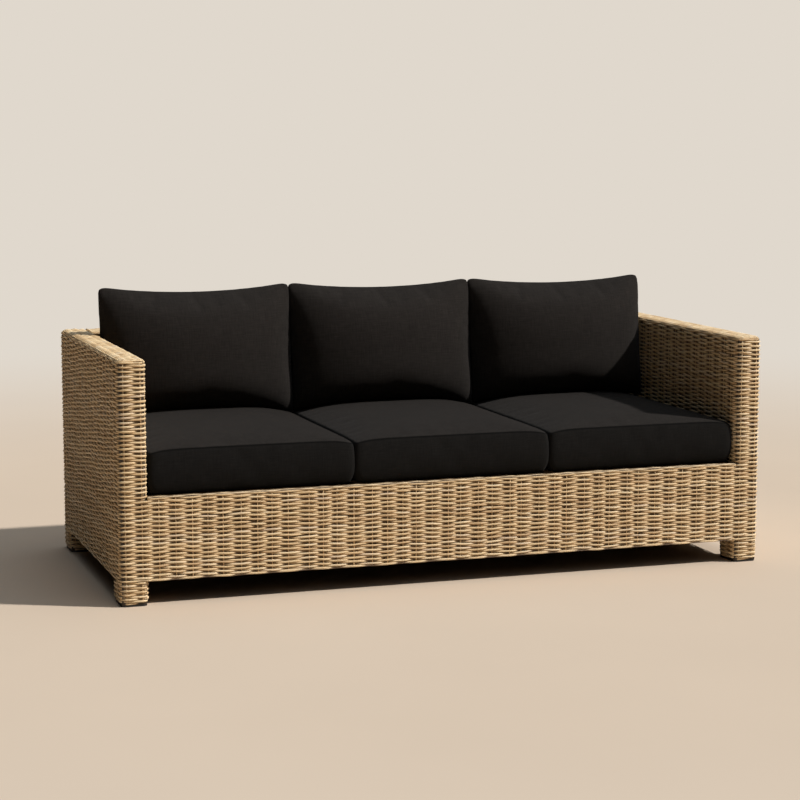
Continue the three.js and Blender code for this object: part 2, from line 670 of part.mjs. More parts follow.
// A back cushion leans on the back panel and stands on the seat cushion, and is flat where they press it.
const seatTopRear = seatTop(0, backPanelFront - backCushionCrown);
const leanHeight = seatTopRear + (backCushionHeight / 2) * Math.cos(backCushionTilt) - backCushionSink;
const leanDepth =
  backPanelFront + backCushionPress -
  (backCushionCrown + backCushionBorder / 2) / Math.cos(backCushionTilt) -
  (armHeight - leanHeight) * Math.tan(backCushionTilt);
const backCushionForm = {
  width: seatPitch - backCushionGap,
  depth: backCushionHeight,
  border: backCushionBorder,
  crownAbove: backCushionCrown,
  crownBelow: backCushionCrown,
  cornerRadius: backCushionCornerRadius,
  sideDrawIn: backCushionSideDrawIn,
  endDrawIn: backCushionEndDrawIn,
  taper: backCushionTaper,
  domePower: 2.2,
  edgePower: 0.62,
  segments: [14, 12, 2],
  settle: (point) => {
    point.applyAxisAngle(new THREE.Vector3(1, 0, 0), Math.PI / 2 - backCushionTilt);
    point.y = Math.min(point.y, backPanelFront - cushionRestGap - leanDepth);
    const floor = seatTop(point.x, point.y + leanDepth) + cushionRestGap - leanHeight;
    point.z = Math.max(point.z, floor);
    return point;
  },
};

function cushions() {
  const names = ["left", "middle", "right"];
  return spread(seats, seatCushionForm.width + cushionGap).flatMap((x, i) => {
    const seat = piece(`seat_cushion_${names[i] ?? i + 1}`, cushionGeometry(seatCushionForm), cloth);
    seat.position.set(x, seatCushionY, seatCushionZ);
    const back = piece(`back_cushion_${names[i] ?? i + 1}`, cushionGeometry(backCushionForm), cloth);
    back.position.set(x, leanDepth, leanHeight);
    return [seat, back];
  });
}

const sofa = new THREE.Group();
sofa.name = "rattan_garden_sofa";
sofa.add(
  arm("left", -1),
  arm("right", 1),
  apronWicker(),
  backWicker(),
  backFrame(),
  seatFrame(),
  ...bolts(),
  ...webbing(),
  ...cushions(),
);

export default sofa;
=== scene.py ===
import math

import bpy
import numpy as np
from mathutils.bvhtree import BVHTree
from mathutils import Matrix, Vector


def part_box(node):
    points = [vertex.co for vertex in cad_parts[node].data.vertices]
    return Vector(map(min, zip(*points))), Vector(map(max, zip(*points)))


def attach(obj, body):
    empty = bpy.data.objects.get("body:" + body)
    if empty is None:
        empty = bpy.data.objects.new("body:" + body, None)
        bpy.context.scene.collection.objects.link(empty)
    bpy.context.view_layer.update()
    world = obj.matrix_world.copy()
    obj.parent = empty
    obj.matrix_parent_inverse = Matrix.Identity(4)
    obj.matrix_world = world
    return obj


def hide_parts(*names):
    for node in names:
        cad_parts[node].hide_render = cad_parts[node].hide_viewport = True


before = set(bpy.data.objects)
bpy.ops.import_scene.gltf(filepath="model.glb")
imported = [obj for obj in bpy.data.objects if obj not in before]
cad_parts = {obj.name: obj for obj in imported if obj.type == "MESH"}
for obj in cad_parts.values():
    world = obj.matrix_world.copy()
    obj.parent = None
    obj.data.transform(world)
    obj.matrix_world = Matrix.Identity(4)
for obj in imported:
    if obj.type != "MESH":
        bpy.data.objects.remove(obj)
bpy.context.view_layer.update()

# Sizes of the woven panels, in metres

PANEL_FOOT = 0.070
SEAT_RAIL_TOP = 0.301
TOP_EDGE_RADIUS = 0.014
CORNER_RADIUS = 0.025
ARM_SEAM_RADIUS = 0.016
ARM_SEAM_LAP = 0.012
LEG_EDGE_RADIUS = 0.014
FIRST_STAKE = 0.883
STAKE_TO_CENTRE = 0.024

# Rows of cane, the stakes that they pass, and the boxes of painted shade inside them

ROWS_BELOW_SEAT = 36
APRON_ROWS = 37
ROW_PITCH = 0.231 / ROWS_BELOW_SEAT
STAKE_PITCH = 0.048
STRAND_RADIUS = 0.0032
STAKE_RADIUS = 0.0016
THIN_RADIUS = 0.0024
SWING = 0.0032
LEAN = 0.45
DEPTH = STRAND_RADIUS + SWING
END_LAP = 0.006
STAKE_END = 0.003
STAKE_MARGIN = 0.004
SHADE_BOX_INSET = 0.0145
SHADE_BOX_THICKNESS = 0.002
SHADE_BOX_END = 0.008
STEPS_PER_STAKE = 6
SECTION_SIDES = 8

# The shapes of rows that differ from the plain ones: on top edges, tops, feet, borders and the ledge

EDGE_BEND = TOP_EDGE_RADIUS - DEPTH
# shade scales the painted shade that a row gets where it goes in behind
EDGE_SHAPES = [{"swing": 0.5, "shade": 0.75}, {"swing": 0.2, "shade": 0.4}]
TOP_SHAPE = {"swing": 0.8, "radius": 0.0030, "shade": 0.8}
TOP_PITCH = 0.0060
TOP_RISE = 0.0008
TOP_REACH = 0.003
TOP_STAKE_INSET = 0.008
TOP_STAKE_DROP = 0.001
TUCK_LENGTH = 0.009
TUCK_DEPTH = 0.006
ROWS_OF_ONE_TONE = 6
FOOT_INSET = DEPTH - SWING * 0.75
FOOT_SHAPE = {"swing": 0.25, "radius": THIN_RADIUS * 1.15}
BACK_FOOT_INSET = 0.001
BACK_FOOT_SHAPE = {"swing": 0.15, "radius": THIN_RADIUS}
UNDER_SWING = 0.2
LEG_SWING = 0.9
LEG_FOOT_SWING = 0.4
LEG_SHADE = 0.85
LEG_STAKE_FOOT = 0.006
LEG_STAKE_LAP = 0.002
APRON_END_SWING = 0.5
# Painted shade makes the thin border strands at the apron's foot and head a dark line
BORDER_SHAPE = {"swing": 0.15, "radius": THIN_RADIUS * 0.8, "shade": 1.5}
BORDER_INSETS = (0.0044, 0.0052)
BORDER_FOOT = 0.0018
BORDER_HEAD = 0.0022
# Painted shade darkens the inner ledge strands, most those that show between the cushions
LEDGE_SHADES = (1.0, 1.6, 3.0, 3.0)
LEDGE_START = 0.002
LEDGE_PITCH = 0.0056
LEDGE_DROP = 0.0036

# How unevenly the cane is worked

REACH = (0.74, 1.16)
GIRTH = (0.95, 1.04)
PLUMPNESS = (0.86, 1.09)
SWAY = 0.00062
EARLINESS = 0.06
ROW_DRIFT = 0.0012
STAKE_DRIFT = 0.16
END_FADE = 0.03
END_TAPER = 0.95
FIRST_SPLICE = (0.25, 0.9)
CANE_LENGTH = (0.4, 1.3)
SHORTEST_CANE = 0.25
SHORTEST_SPLICED = 0.5
CANE_TONE = (0.15, 0.98)
SKIN_LENGTH = 40
ROW_TONE = (0.2, 0.9)
TONES_IN_TURN = 400
STAKE_PAINTED_SHADE = (0.45, 0.7)
STAKE_TONE = (0.2, 0.8)

# Seeds of the random draws

STAKE_SEED = 5
TONE_SEED = 7
RIGHT_ARM_SEED = 11
LEFT_ARM_SEED = 12
APRON_SEED = 21
BACK_SEED = 31
FIRST_LEG_SEED = 40

# Slopes of the way out of a panel, in its section from front to rear

REARWARD = 0
UPWARD = math.pi / 2
FORWARD = math.pi
DOWNWARD = -math.pi / 2


# Scene helpers


def select_only(piece):
    bpy.ops.object.select_all(action="DESELECT")
    piece.select_set(True)
    bpy.context.view_layer.objects.active = piece


def places(piece):
    flat = np.zeros(len(piece.data.vertices) * 3)
    piece.data.vertices.foreach_get("co", flat)
    return flat.reshape(-1, 3)


def set_places(piece, points):
    piece.data.vertices.foreach_set("co", np.ascontiguousarray(points).ravel())
    piece.data.update()


def unit(vectors):
    return vectors / np.linalg.norm(vectors, axis=1)[:, None]


# Shader helpers


def srgb(red, green, blue):
    """A colour given as the 0 to 255 values that it should show as."""
    parts = [value / 255 for value in (red, green, blue)]
    linear = [part / 12.92 if part <= 0.04 else ((part + 0.055) / 1.055) ** 2.4 for part in parts]
    return (*linear, 1.0)


def feed(tree, sockets, values):
    """Links a value into its socket where another node puts it out, and else sets it there."""
    for name, value in values.items():
        if isinstance(value, bpy.types.NodeSocket):
            tree.links.new(value, sockets[name])
        else:
            sockets[name].default_value = value


def add_node(tree, kind, inputs=None, **settings):
    node = tree.nodes.new("ShaderNode" + kind)
    for name, value in settings.items():
        setattr(node, name, value)
    feed(tree, node.inputs, inputs or {})
    return node


def math_node(tree, operation, first, second=0.0):
    return add_node(tree, "Math", {0: first, 1: second}, operation=operation).outputs[0]


def scaled(tree, vector, factors):
    node = add_node(tree, "VectorMath", {0: vector, 1: factors}, operation="MULTIPLY")
    return node.outputs["Vector"]


def noise(tree, vector, scale, detail=2.0, roughness=0.5):
    inputs = {"Vector": vector, "Scale": scale, "Detail": detail, "Roughness": roughness}
    return add_node(tree, "TexNoise", inputs).outputs["Fac"]


def stretched_noise(tree, vector, stretch, detail, roughness=0.5):
    return noise(tree, scaled(tree, vector, stretch), 1.0, detail, roughness)


def ramp(tree, factor, stops):
    node = add_node(tree, "ValToRGB", {"Fac": factor})
    elements = node.color_ramp.elements
    while len(elements) < len(stops):
        elements.new(0.5)
    for element, (at, colour) in zip(elements, stops):
        element.position = at
        element.color = srgb(*colour)
    return node.outputs["Color"]


def remap(tree, value, low, high, to_low, to_high, kind="LINEAR"):
    inputs = {"Value": value, "From Min": low, "From Max": high, "To Min": to_low, "To Max": to_high}
    return add_node(tree, "MapRange", inputs, interpolation_type=kind).outputs["Result"]


def mix(tree, factor, first, second, blend="MIX"):
    inputs = {0: factor, 6: first, 7: second}
    return add_node(tree, "Mix", inputs, data_type="RGBA", blend_type=blend).outputs[2]


def multiplied(tree, first, second):
    return mix(tree, 1.0, first, second, "MULTIPLY")


def start_group(name, inputs, outputs):
    group = bpy.data.node_groups.new(name, "ShaderNodeTree")
    for title, kind, value in inputs:
        socket = group.interface.new_socket(title, in_out="INPUT", socket_type="NodeSocket" + kind)
        if value is not None:
            socket.default_value = value
    for title, kind in outputs:
        group.interface.new_socket(title, in_out="OUTPUT", socket_type="NodeSocket" + kind)
    entry = group.nodes.new("NodeGroupInput")
    result = group.nodes.new("NodeGroupOutput")
    return group, entry.outputs, result.inputs


def use_group(tree, group, inputs):
    node = tree.nodes.new("ShaderNodeGroup")
    node.node_tree = group
    feed(tree, node.inputs, inputs)
    return node.outputs


def start_material(name, **fixed):
    material = bpy.data.materials.new(name)
    material.use_nodes = True
    tree = material.node_tree
    surface = tree.nodes["Principled BSDF"]
    for title, value in fixed.items():
        surface.inputs[title.replace("_", " ")].default_value = value
    return material, tree, surface.inputs


def attribute(tree, name, output):
    return add_node(tree, "Attribute", attribute_name=name).outputs[output]


def object_place(tree, kind="Object"):
    return add_node(tree, "TexCoord").outputs[kind]


def bump(tree, surface, height, distance, strength):
    node = add_node(tree, "Bump", {"Height": height, "Distance": distance, "Strength": strength})
    tree.links.new(node.outputs["Normal"], surface["Normal"])


# Camera, floor and light

CAMERA_PLACE = (-2.113, -6.178, 1.355)
CAMERA_DOWN = 7.57
CAMERA_TURN = -18.74
CAMERA_FILM = 36
CAMERA_REACH = 2112 / 800
FLOOR_SIZE = 60
FLOOR_FADES_FROM = 1.7
FLOOR_FADES_TO = 6.5
BACKGROUND = (224, 216, 205)
FLOOR_COLOUR = (211, 193, 173)
SUN_HEIGHT = 40
SUN_FROM_FRONT = 64
SUN_STRENGTH = 3.75
SUN_WIDTH = 2.5
SUN_COLOUR = (1.0, 0.975, 0.94)
SKY_STRENGTH = 1.1
SKY_COLOUR = (0.86, 0.93, 1.0)
SKY_LOW = 0.2
SKY_LOW_SHARE = 0.04
SKY_LEFT = -0.56
SKY_RIGHT = 0.06
SKY_LEFT_SHARE = 0.02


def add_camera():
    turn = (math.radians(90 - CAMERA_DOWN), 0, math.radians(CAMERA_TURN))
    bpy.ops.object.camera_add(location=CAMERA_PLACE, rotation=turn)
    camera = bpy.context.object
    camera.data.sensor_width = CAMERA_FILM
    camera.data.lens = CAMERA_FILM * CAMERA_REACH
    bpy.context.scene.camera = camera


def add_floor():
    bpy.ops.mesh.primitive_plane_add(size=FLOOR_SIZE, location=(0, 0, 0))
    floor = bpy.context.object
    floor.name = "floor"
    floor.data.materials.append(floor_material())


def add_light():
    """A low sun from the right of the front, and a soft sky, which is brightest overhead and to the right.

    The camera sees a plain background instead of the sky.
    """
    bpy.ops.object.light_add(type="SUN")
    sun = bpy.context.object
    sun.name = "key light"
    sun.rotation_euler = (math.radians(90 - SUN_HEIGHT), 0, math.radians(SUN_FROM_FRONT))
    sun.data.angle = math.radians(SUN_WIDTH)
    sun.data.energy = SUN_STRENGTH
    sun.data.color = SUN_COLOUR
    world = bpy.data.worlds.new("studio")
    bpy.context.scene.world = world
    world.use_nodes = True
    tree = world.node_tree
    tree.nodes.clear()
    way = add_node(tree, "SeparateXYZ", {"Vector": object_place(tree, "Generated")}).outputs
    rise = remap(tree, way["Z"], SKY_LOW, 1.0, SKY_LOW_SHARE, 1.0)
    rise = math_node(tree, "MULTIPLY", rise, rise)
    side = remap(tree, way["X"], SKY_LEFT, SKY_RIGHT, SKY_LEFT_SHARE, 1.0, "SMOOTHSTEP")
    sky = scaled(tree, math_node(tree, "MULTIPLY", rise, side), SKY_COLOUR)
    soft = add_node(tree, "Background", {"Color": sky, "Strength": SKY_STRENGTH})
    seen = add_node(tree, "Background", {"Color": srgb(*BACKGROUND), "Strength": 1.0})
    camera_sees = add_node(tree, "LightPath").outputs["Is Camera Ray"]
    parts = {"Fac": camera_sees, 1: soft.outputs["Background"], 2: seen.outputs["Background"]}
    both = add_node(tree, "MixShader", parts).outputs["Shader"]
    add_node(tree, "OutputWorld", {"Surface": both})
    bpy.context.scene.view_settings.view_transform = "Standard"


# Effects that more than one finish uses


def cloudy_group():
    """Slow changes of tone over a surface, around one."""
    group, given, result = start_group(
        "Cloudy tone",
        [("Place", "Vector", None), ("Scale", "Float", 4.0), ("Amount", "Float", 0.1)],
        [("Tone", "Float")],
    )
    cloud = noise(group, given["Place"], given["Scale"], 3.0, 0.55)
    centred = math_node(group, "SUBTRACT", cloud, 0.5)
    widened = math_node(group, "MULTIPLY", centred, 2.4)
    swing = math_node(group, "MULTIPLY", widened, given["Amount"])
    feed(group, result, {"Tone": math_node(group, "ADD", swing, 1.0)})
    return group


def fine_grain_group():
    """A fine grain, and the roughness that goes with it."""
    group, given, result = start_group(
        "Fine grain",
        [
            ("Place", "Vector", None),
            ("Stretch", "Vector", None),
            ("Smoothest", "Float", 0.4),
            ("Roughest", "Float", 0.6),
        ],
        [("Height", "Float"), ("Roughness", "Float")],
    )
    grain = stretched_noise(group, given["Place"], given["Stretch"], 2.0)
    rough = remap(group, grain, 0.3, 0.7, given["Smoothest"], given["Roughest"])
    feed(group, result, {"Height": grain, "Roughness": rough})
    return group


def woven_threads_group():
    """Plain weave: threads over and under each other, with a tone for each thread."""
    group, given, result = start_group(
        "Woven threads",
        [("Place", "Vector", None), ("Thread pitch", "Float", 0.001)],
        [("Height", "Float"), ("Tone", "Float")],
    )
    turns = math_node(group, "DIVIDE", math.pi, given["Thread pitch"])
    parts = add_node(group, "SeparateXYZ", {"Vector": given["Place"]}).outputs
    across = math_node(group, "SINE", math_node(group, "MULTIPLY", parts["X"], turns))
    along = math_node(group, "SINE", math_node(group, "MULTIPLY", parts["Y"], turns))
    checks = math_node(group, "MULTIPLY", across, along)
    warp = stretched_noise(group, given["Place"], (900.0, 25.0, 25.0), 1.0)
    weft = stretched_noise(group, given["Place"], (25.0, 900.0, 25.0), 1.0)
    over = math_node(group, "GREATER_THAN", checks, 0.0)
    picked = add_node(group, "Mix", {0: over, 2: warp, 3: weft}, data_type="FLOAT").outputs[0]
    feed(group, result, {"Height": math_node(group, "ABSOLUTE", checks), "Tone": picked})
    return group


def toned(tree, colour, place, scale, amount):
    """A colour with slow changes of tone over it."""
    tone = use_group(tree, cloudy, {"Place": place, "Scale": scale, "Amount": amount})["Tone"]
    return multiplied(tree, colour, tone)


def woven_yarn(tree, place, pitch, dark, light):
    """The colour and the height of a plain weave of yarns between a dark and a light one."""
    weave = use_group(tree, threads, {"Place": place, "Thread pitch": pitch})
    return mix(tree, weave["Tone"], srgb(*dark), srgb(*light)), weave["Height"]


# Finishes


CANE_COLOURS = [
    (0.00, (196, 162, 120)),
    (0.30, (216, 184, 139)),
    (0.60, (230, 201, 156)),
    (0.82, (239, 214, 174)),
    (1.00, (216, 191, 160)),
]
RECESS_SHADE_COLOUR = (68, 44, 23)


def rattan_material():
    """Split cane: a tone for each strand, long fibres, and painted shade, dark brown, where strands go in
    behind.
    """
    material, tree, surface = start_material("rattan weave", IOR=1.45)
    place = attribute(tree, "strand_place", "Vector")
    fibres = stretched_noise(tree, place, (45.0, 1500.0, 1500.0), 3.0, 0.6)
    patches = stretched_noise(tree, place, (14.0, 160.0, 160.0), 2.0)
    patch_shift = remap(tree, patches, 0.25, 0.75, -0.20, 0.20)
    tone = math_node(tree, "ADD", attribute(tree, "strand_tone", "Fac"), patch_shift)
    cane = multiplied(tree, ramp(tree, tone, CANE_COLOURS), remap(tree, fibres, 0.30, 0.70, 0.80, 1.08))
    # Painted shade: the cane turns dark brown as strand_depth grows, where strands go in behind
    painted_recess_shade = remap(tree, attribute(tree, "strand_depth", "Fac"), 0.50, 0.92, 0.0, 0.90)
    shown = mix(tree, painted_recess_shade, cane, srgb(*RECESS_SHADE_COLOUR))
    feed(tree, surface, {"Base Color": shown, "Roughness": remap(tree, fibres, 0.2, 0.8, 0.46, 0.66)})
    bump(tree, surface, fibres, 0.0004, 0.6)
    return material


FABRIC_YARNS = (29, 26, 24), (46, 42, 39)
BAND_SHADE = (0.50, 0.55, 0.58)
SEAM_COLOUR = (9, 8, 7)


def fabric_material():
    """Dark canvas. The border band between a seat cushion's seams is darkened with painted shade, so that the
    sides look less lit than the top.
    """
    fixed = {"Roughness": 0.95, "Sheen Weight": 0.025, "Sheen Roughness": 0.45, "Specular IOR Level": 0.08}
    material, tree, surface = start_material("cushion canvas", **fixed)
    cloth = add_node(tree, "UVMap", uv_map="cloth").outputs["UV"]
    yarn, height = woven_yarn(tree, cloth, 0.0011, *FABRIC_YARNS)
    woven = toned(tree, yarn, object_place(tree), 9.0, 0.10)
    for stretch in ((24.0, 270.0, 1.0), (270.0, 24.0, 1.0)):
        slub = stretched_noise(tree, cloth, stretch, 1.0)
        woven = multiplied(tree, woven, remap(tree, slub, 0.25, 0.75, 0.84, 1.16))
    # Painted shade: darker where the weave lies low between its threads
    woven = multiplied(tree, woven, remap(tree, height, 0.0, 0.5, 0.72, 1.0))
    # Painted shade darkens the border band
    woven = mix(tree, attribute(tree, "band", "Fac"), woven, scaled(tree, woven, BAND_SHADE))
    seam = remap(tree, attribute(tree, "seam", "Fac"), 0.0, 0.6, 0.0, 1.0)
    tree.links.new(mix(tree, seam, woven, srgb(*SEAM_COLOUR)), surface["Base Color"])
    bump(tree, surface, height, 0.0003, 0.5)
    return material


def webbing_material():
    material, tree, surface = start_material("elastic webbing", Roughness=0.85)
    place = object_place(tree)
    yarn, height = woven_yarn(tree, place, 0.0024, (30, 28, 26), (66, 61, 56))
    # Painted shade: darker where the weave lies low between its threads
    woven = multiplied(tree, toned(tree, yarn, place, 12.0, 0.12), remap(tree, height, 0.0, 0.5, 0.6, 1.0))
    tree.links.new(woven, surface["Base Color"])
    bump(tree, surface, height, 0.0006, 0.6)
    return material


def grained_material(name, colour, cloud, grain, rough, relief, specks=None, **fixed):
    """A plain finish with slow changes of tone and a fine grain.

    cloud is the scale and the amount of the tone, grain the stretch of the grain, rough its lowest and
    highest roughness, relief the depth and the strength of its bump, and specks what it does to the colour.
    """
    material, tree, surface = start_material(name, **fixed)
    place = object_place(tree)
    values = {"Place": place, "Stretch": grain, "Smoothest": rough[0], "Roughest": rough[1]}
    fine = use_group(tree, fine_grain, values)
    shown = toned(tree, srgb(*colour), place, *cloud)
    if specks:
        shown = multiplied(tree, shown, remap(tree, fine["Height"], *specks))
    feed(tree, surface, {"Base Color": shown, "Roughness": fine["Roughness"]})
    bump(tree, surface, fine["Height"], *relief)
    return material


BRONZE_COAT = {
    "colour": (72, 62, 52),
    "cloud": (14.0, 0.12),
    "grain": (1400.0, 1400.0, 1400.0),
    "rough": (0.42, 0.58),
    "relief": (0.0001, 0.5),
    "specks": (0.35, 0.7, 0.86, 1.12),
    "Metallic": 0.35,
}
BOLT_STEEL = {
    "colour": (172, 174, 176),
    "cloud": (60.0, 0.15),
    "grain": (2400.0, 300.0, 300.0),
    "rough": (0.24, 0.42),
    "relief": (0.00005, 0.4),
    "Metallic": 1.0,
}
NYLON = {
    "colour": (26, 25, 24),
    "cloud": (30.0, 0.2),
    "grain": (900.0, 900.0, 900.0),
    "rough": (0.48, 0.64),
    "relief": (0.0001, 0.4),
}
PLAIN_FINISHES = {
    "_frame": ("bronze powder coat", BRONZE_COAT),
    "_bolt": ("bolt steel", BOLT_STEEL),
    "_glide": ("moulded nylon", NYLON),
}


def floor_material():
    """A pale floor, which the camera sees pass into the background some way off."""
    fixed = {"Roughness": 0.9, "Specular IOR Level": 0.1}
    material, tree, surface = start_material("pale floor", **fixed)
    place = object_place(tree)
    tree.links.new(toned(tree, srgb(*FLOOR_COLOUR), place, 1.1, 0.03), surface["Base Color"])
    away = add_node(tree, "VectorMath", {0: place}, operation="LENGTH").outputs["Value"]
    far = remap(tree, away, FLOOR_FADES_FROM, FLOOR_FADES_TO, 0.0, 1.0, "SMOOTHSTEP")
    seen = add_node(tree, "LightPath").outputs["Is Camera Ray"]
    background = add_node(tree, "Emission", {"Color": srgb(*BACKGROUND), "Strength": 1.0})
    lit = tree.nodes["Principled BSDF"].outputs["BSDF"]
    parts = {"Fac": math_node(tree, "MULTIPLY", far, seen), 1: lit, 2: background.outputs["Emission"]}
    both = add_node(tree, "MixShader", parts).outputs["Shader"]
    tree.links.new(both, tree.nodes["Material Output"].inputs["Surface"])
    return material


def dress(material, part):
    """Gives a material to every shown CAD node whose name has this part in it."""
    for name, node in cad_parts.items():
        if part in name:
            node.data.materials.clear()
            node.data.materials.append(material)


# Strands


def strand(points, outward, run, depth, tone, radius, closed=False):
    """One strand: its centre line, the way out of the panel along it, and its radius at each point."""
    ahead = np.roll(points, -1, 0) - points
    behind = points - np.roll(points, 1, 0)
    if not closed:
        ahead[-1] = behind[-1]
        behind[0] = ahead[0]
    tangent = unit(unit(ahead) + unit(behind))
    across = unit(np.cross(tangent, outward))
    out = np.cross(across, tangent)
    turns = np.arange(SECTION_SIDES) * 2 * np.pi / SECTION_SIDES
    ring = np.cos(turns)[None, :, None] * out[:, None] + np.sin(turns)[None, :, None] * across[:, None]
    skin = points[:, None] + ring * np.broadcast_to(radius, len(points))[:, None, None]
    place = np.zeros((len(points), SECTION_SIDES, 3))
    place[:, :, 0] = run[:, None]
    place[:, :, 1] = np.cos(turns) * STRAND_RADIUS
    place[:, :, 2] = np.sin(turns) * STRAND_RADIUS
    return {"skin": skin, "place": place, "depth": depth, "tone": tone, "closed": closed}


def painted_shade_box(low, high):
    """The inner side of a panel's shell, seen dark between its strands: a closed box in painted shade."""
    x = (low[0], (low[0] + high[0]) / 2, high[0])
    y = (low[1], (low[1] + high[1]) / 2, high[1])
    plan = [(0, 0), (1, 0), (2, 0), (2, 1), (2, 2), (1, 2), (0, 2), (0, 1)]
    skin = np.array([[(x[i], y[j], z) for i, j in plan] for z in (low[2], high[2])])
    place = np.zeros(skin.shape)
    # A depth of one paints the box in the rattan's dark painted shade colour
    return {"skin": skin, "place": place, "depth": np.ones(2), "tone": np.full(2, 0.5), "closed": False}


def strands_to_piece(name, strands):
    """Strands as one mesh of closed tubes, which knows each point's tone, depth (how much painted shade it
    gets) and place on its strand.
    """
    corners = []
    ends = []
    base = 0
    sides = np.arange(SECTION_SIDES)
    following = np.roll(sides, -1)
    for one in strands:
        rings = len(one["skin"])
        first = np.arange(rings if one["closed"] else rings - 1)
        second = (first + 1) % rings
        low = base + first[:, None] * SECTION_SIDES
        high = base + second[:, None] * SECTION_SIDES
        quads = np.stack([low + sides, low + following, high + following, high + sides], -1)
        corners.append(quads.reshape(-1, 4))
        if not one["closed"]:
            ends.append(base + sides[::-1])
            ends.append(base + (rings - 1) * SECTION_SIDES + sides)
        base += rings * SECTION_SIDES
    quads = np.concatenate(corners).tolist()
    points = np.concatenate([one["skin"].reshape(-1, 3) for one in strands]).tolist()
    mesh = bpy.data.meshes.new(name)
    mesh.from_pydata(points, [], [*quads, *(end.tolist() for end in ends)])
    mesh.polygons.foreach_set("use_smooth", np.arange(len(mesh.polygons)) < len(quads))
    mesh.validate()
    for title in ("tone", "depth"):
        values = np.concatenate([np.repeat(one[title], SECTION_SIDES) for one in strands])
        mesh.attributes.new(f"strand_{title}", "FLOAT", "POINT").data.foreach_set("value", values)
    values = np.concatenate([one["place"].reshape(-1, 3) for one in strands])
    mesh.attributes.new("strand_place", "FLOAT_VECTOR", "POINT").data.foreach_set("vector", values.ravel())
    piece = bpy.data.objects.new(name, mesh)
    bpy.context.scene.collection.objects.link(piece)
    return piece


def finish_weave(name, strands, node):
    piece = strands_to_piece(name, strands)
    piece.data.materials.append(rattan)
    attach(piece, "frame")
    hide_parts(node)


def finish_in_halves(names, rows, rest, node):
    """The rows of a tall face as two pieces, of which the upper one gets the rest of its strands too."""
    half = len(rows) // 2
    finish_weave(names[0], rows[:half], node)
    finish_weave(names[1], rows[half:] + rest, node)


ROW_TONES = np.random.default_rng(TONE_SEED).uniform(*ROW_TONE, TONES_IN_TURN)


def spliced_tone(row, run, rng):
    """The tone along a row, which changes where one cane ends and the next begins."""
    tone = np.full(len(run), ROW_TONES[row % TONES_IN_TURN])
    last = run[-1] - SHORTEST_CANE
    splice = run[0] + rng.uniform(*FIRST_SPLICE)
    while splice < last and run[-1] - run[0] > SHORTEST_SPLICED:
        following = splice + rng.uniform(*CANE_LENGTH)
        if following > last:
            break
        tone[(run >= splice) & (run < following)] = rng.uniform(*CANE_TONE)
        splice = following
    return tone


def shared_drift(phase, row):
    """How far the rows of a panel wander together, up or down, as they go along."""
    slow = np.sin(0.83 * phase + 0.11 * row) + 0.8 * np.sin(2.1 * phase - 0.19 * row + 2.0)
    return ROW_DRIFT * slow


def row_strand(
    base, outward, run, phase, row, rng, swing=1.0, radius=STRAND_RADIUS, closed=False, shade=1.0, lean=LEAN
):
    """A woven row: it stands out over every other stake and goes in behind the ones between.

    With a lean it comes out slowly and goes in steeply. Towards open ends a row keeps to its plain form,
    so that it meets the row of the next panel.
    """
    knots = np.arange(math.floor(phase.min()) - 1, math.ceil(phase.max()) + 2)
    count = len(knots)
    jitters = [
        rng.uniform(*REACH, count),
        rng.normal(0, SWAY, count),
        rng.uniform(*PLUMPNESS, count),
        rng.normal(0, EARLINESS, count),
    ]
    if closed:
        turn = int(round(phase.max() - phase.min()))
        for jitter in jitters:
            jitter[turn + 1 :] = jitter[1 : count - turn]
    reach, sway, plump, early = (np.interp(phase, knots, jitter) for jitter in jitters)
    uneven = 1.0 if closed else np.clip(np.minimum(run - run[0], run[-1] - run) / END_FADE, 0, 1)
    passed = phase + early * uneven
    turned = np.pi * (passed + row)
    lift = np.cos(turned - lean * np.cos(turned)) * (1 + (reach - 1) * uneven)
    across = np.cross(unit(np.gradient(base, axis=0)), outward)
    across = across * np.where(across[:, 2:] < 0, -1.0, 1.0)
    drift = 0.0 if closed else shared_drift(phase, row)
    aside = (sway + drift) * min(1, swing * 1.5) * uneven
    points = base + outward * (lift * SWING * swing)[:, None]
    points = points + across * aside[:, None]
    width = radius * (1 + (rng.uniform(*GIRTH) * plump - 1) * uneven)
    if not closed:
        width[[0, -1]] *= END_TAPER
    offset = rng.uniform(0, SKIN_LENGTH)
    # depth sets the painted shade: darkest where the row goes in behind a stake, scaled by shade
    depth = (0.5 - 0.5 * np.clip(lift * min(1, swing + 0.2), -1, 1)) * shade
    return strand(points, outward, run + offset, depth, spliced_tone(row, run, rng), width, closed)


def row_height(start, k):
    return start + (k + 0.5) * ROW_PITCH


def stake_strand(points, outward, rng):
    points = np.array(points, float)
    run = np.concatenate([[0], np.cumsum(np.linalg.norm(np.diff(points, axis=0), axis=1))])
    outward = np.broadcast_to(np.array(outward, float), points.shape)
    # Painted shade: each stake gets its own amount of darkening
    depth = np.full(len(points), rng.uniform(*STAKE_PAINTED_SHADE))
    tone = np.full(len(points), rng.uniform(*STAKE_TONE))
    return strand(points, outward, run + rng.uniform(0, SKIN_LENGTH), depth, tone, STAKE_RADIUS)


def top_edge_turns():
    """The slope and the shape of each row that rounds a top edge, from the face up."""
    return [((k + 0.5) / len(EDGE_SHAPES) * UPWARD, shape) for k, shape in enumerate(EDGE_SHAPES)]


def top_row_places(front, rear):
    """Where the rows on a top lie, between its rounded edges."""
    length = rear - front - 2 * TOP_EDGE_RADIUS
    count = round(length / TOP_PITCH)
    return [front + TOP_EDGE_RADIUS + (k + 0.5) * length / count for k in range(count)]


# Plan outlines

CORNER_STEPS = 9
BEYOND = 40
CLOSEST_RINGS = 0.0035
TRIED_PLACES = 4000
DENSE_PLACES = 8000


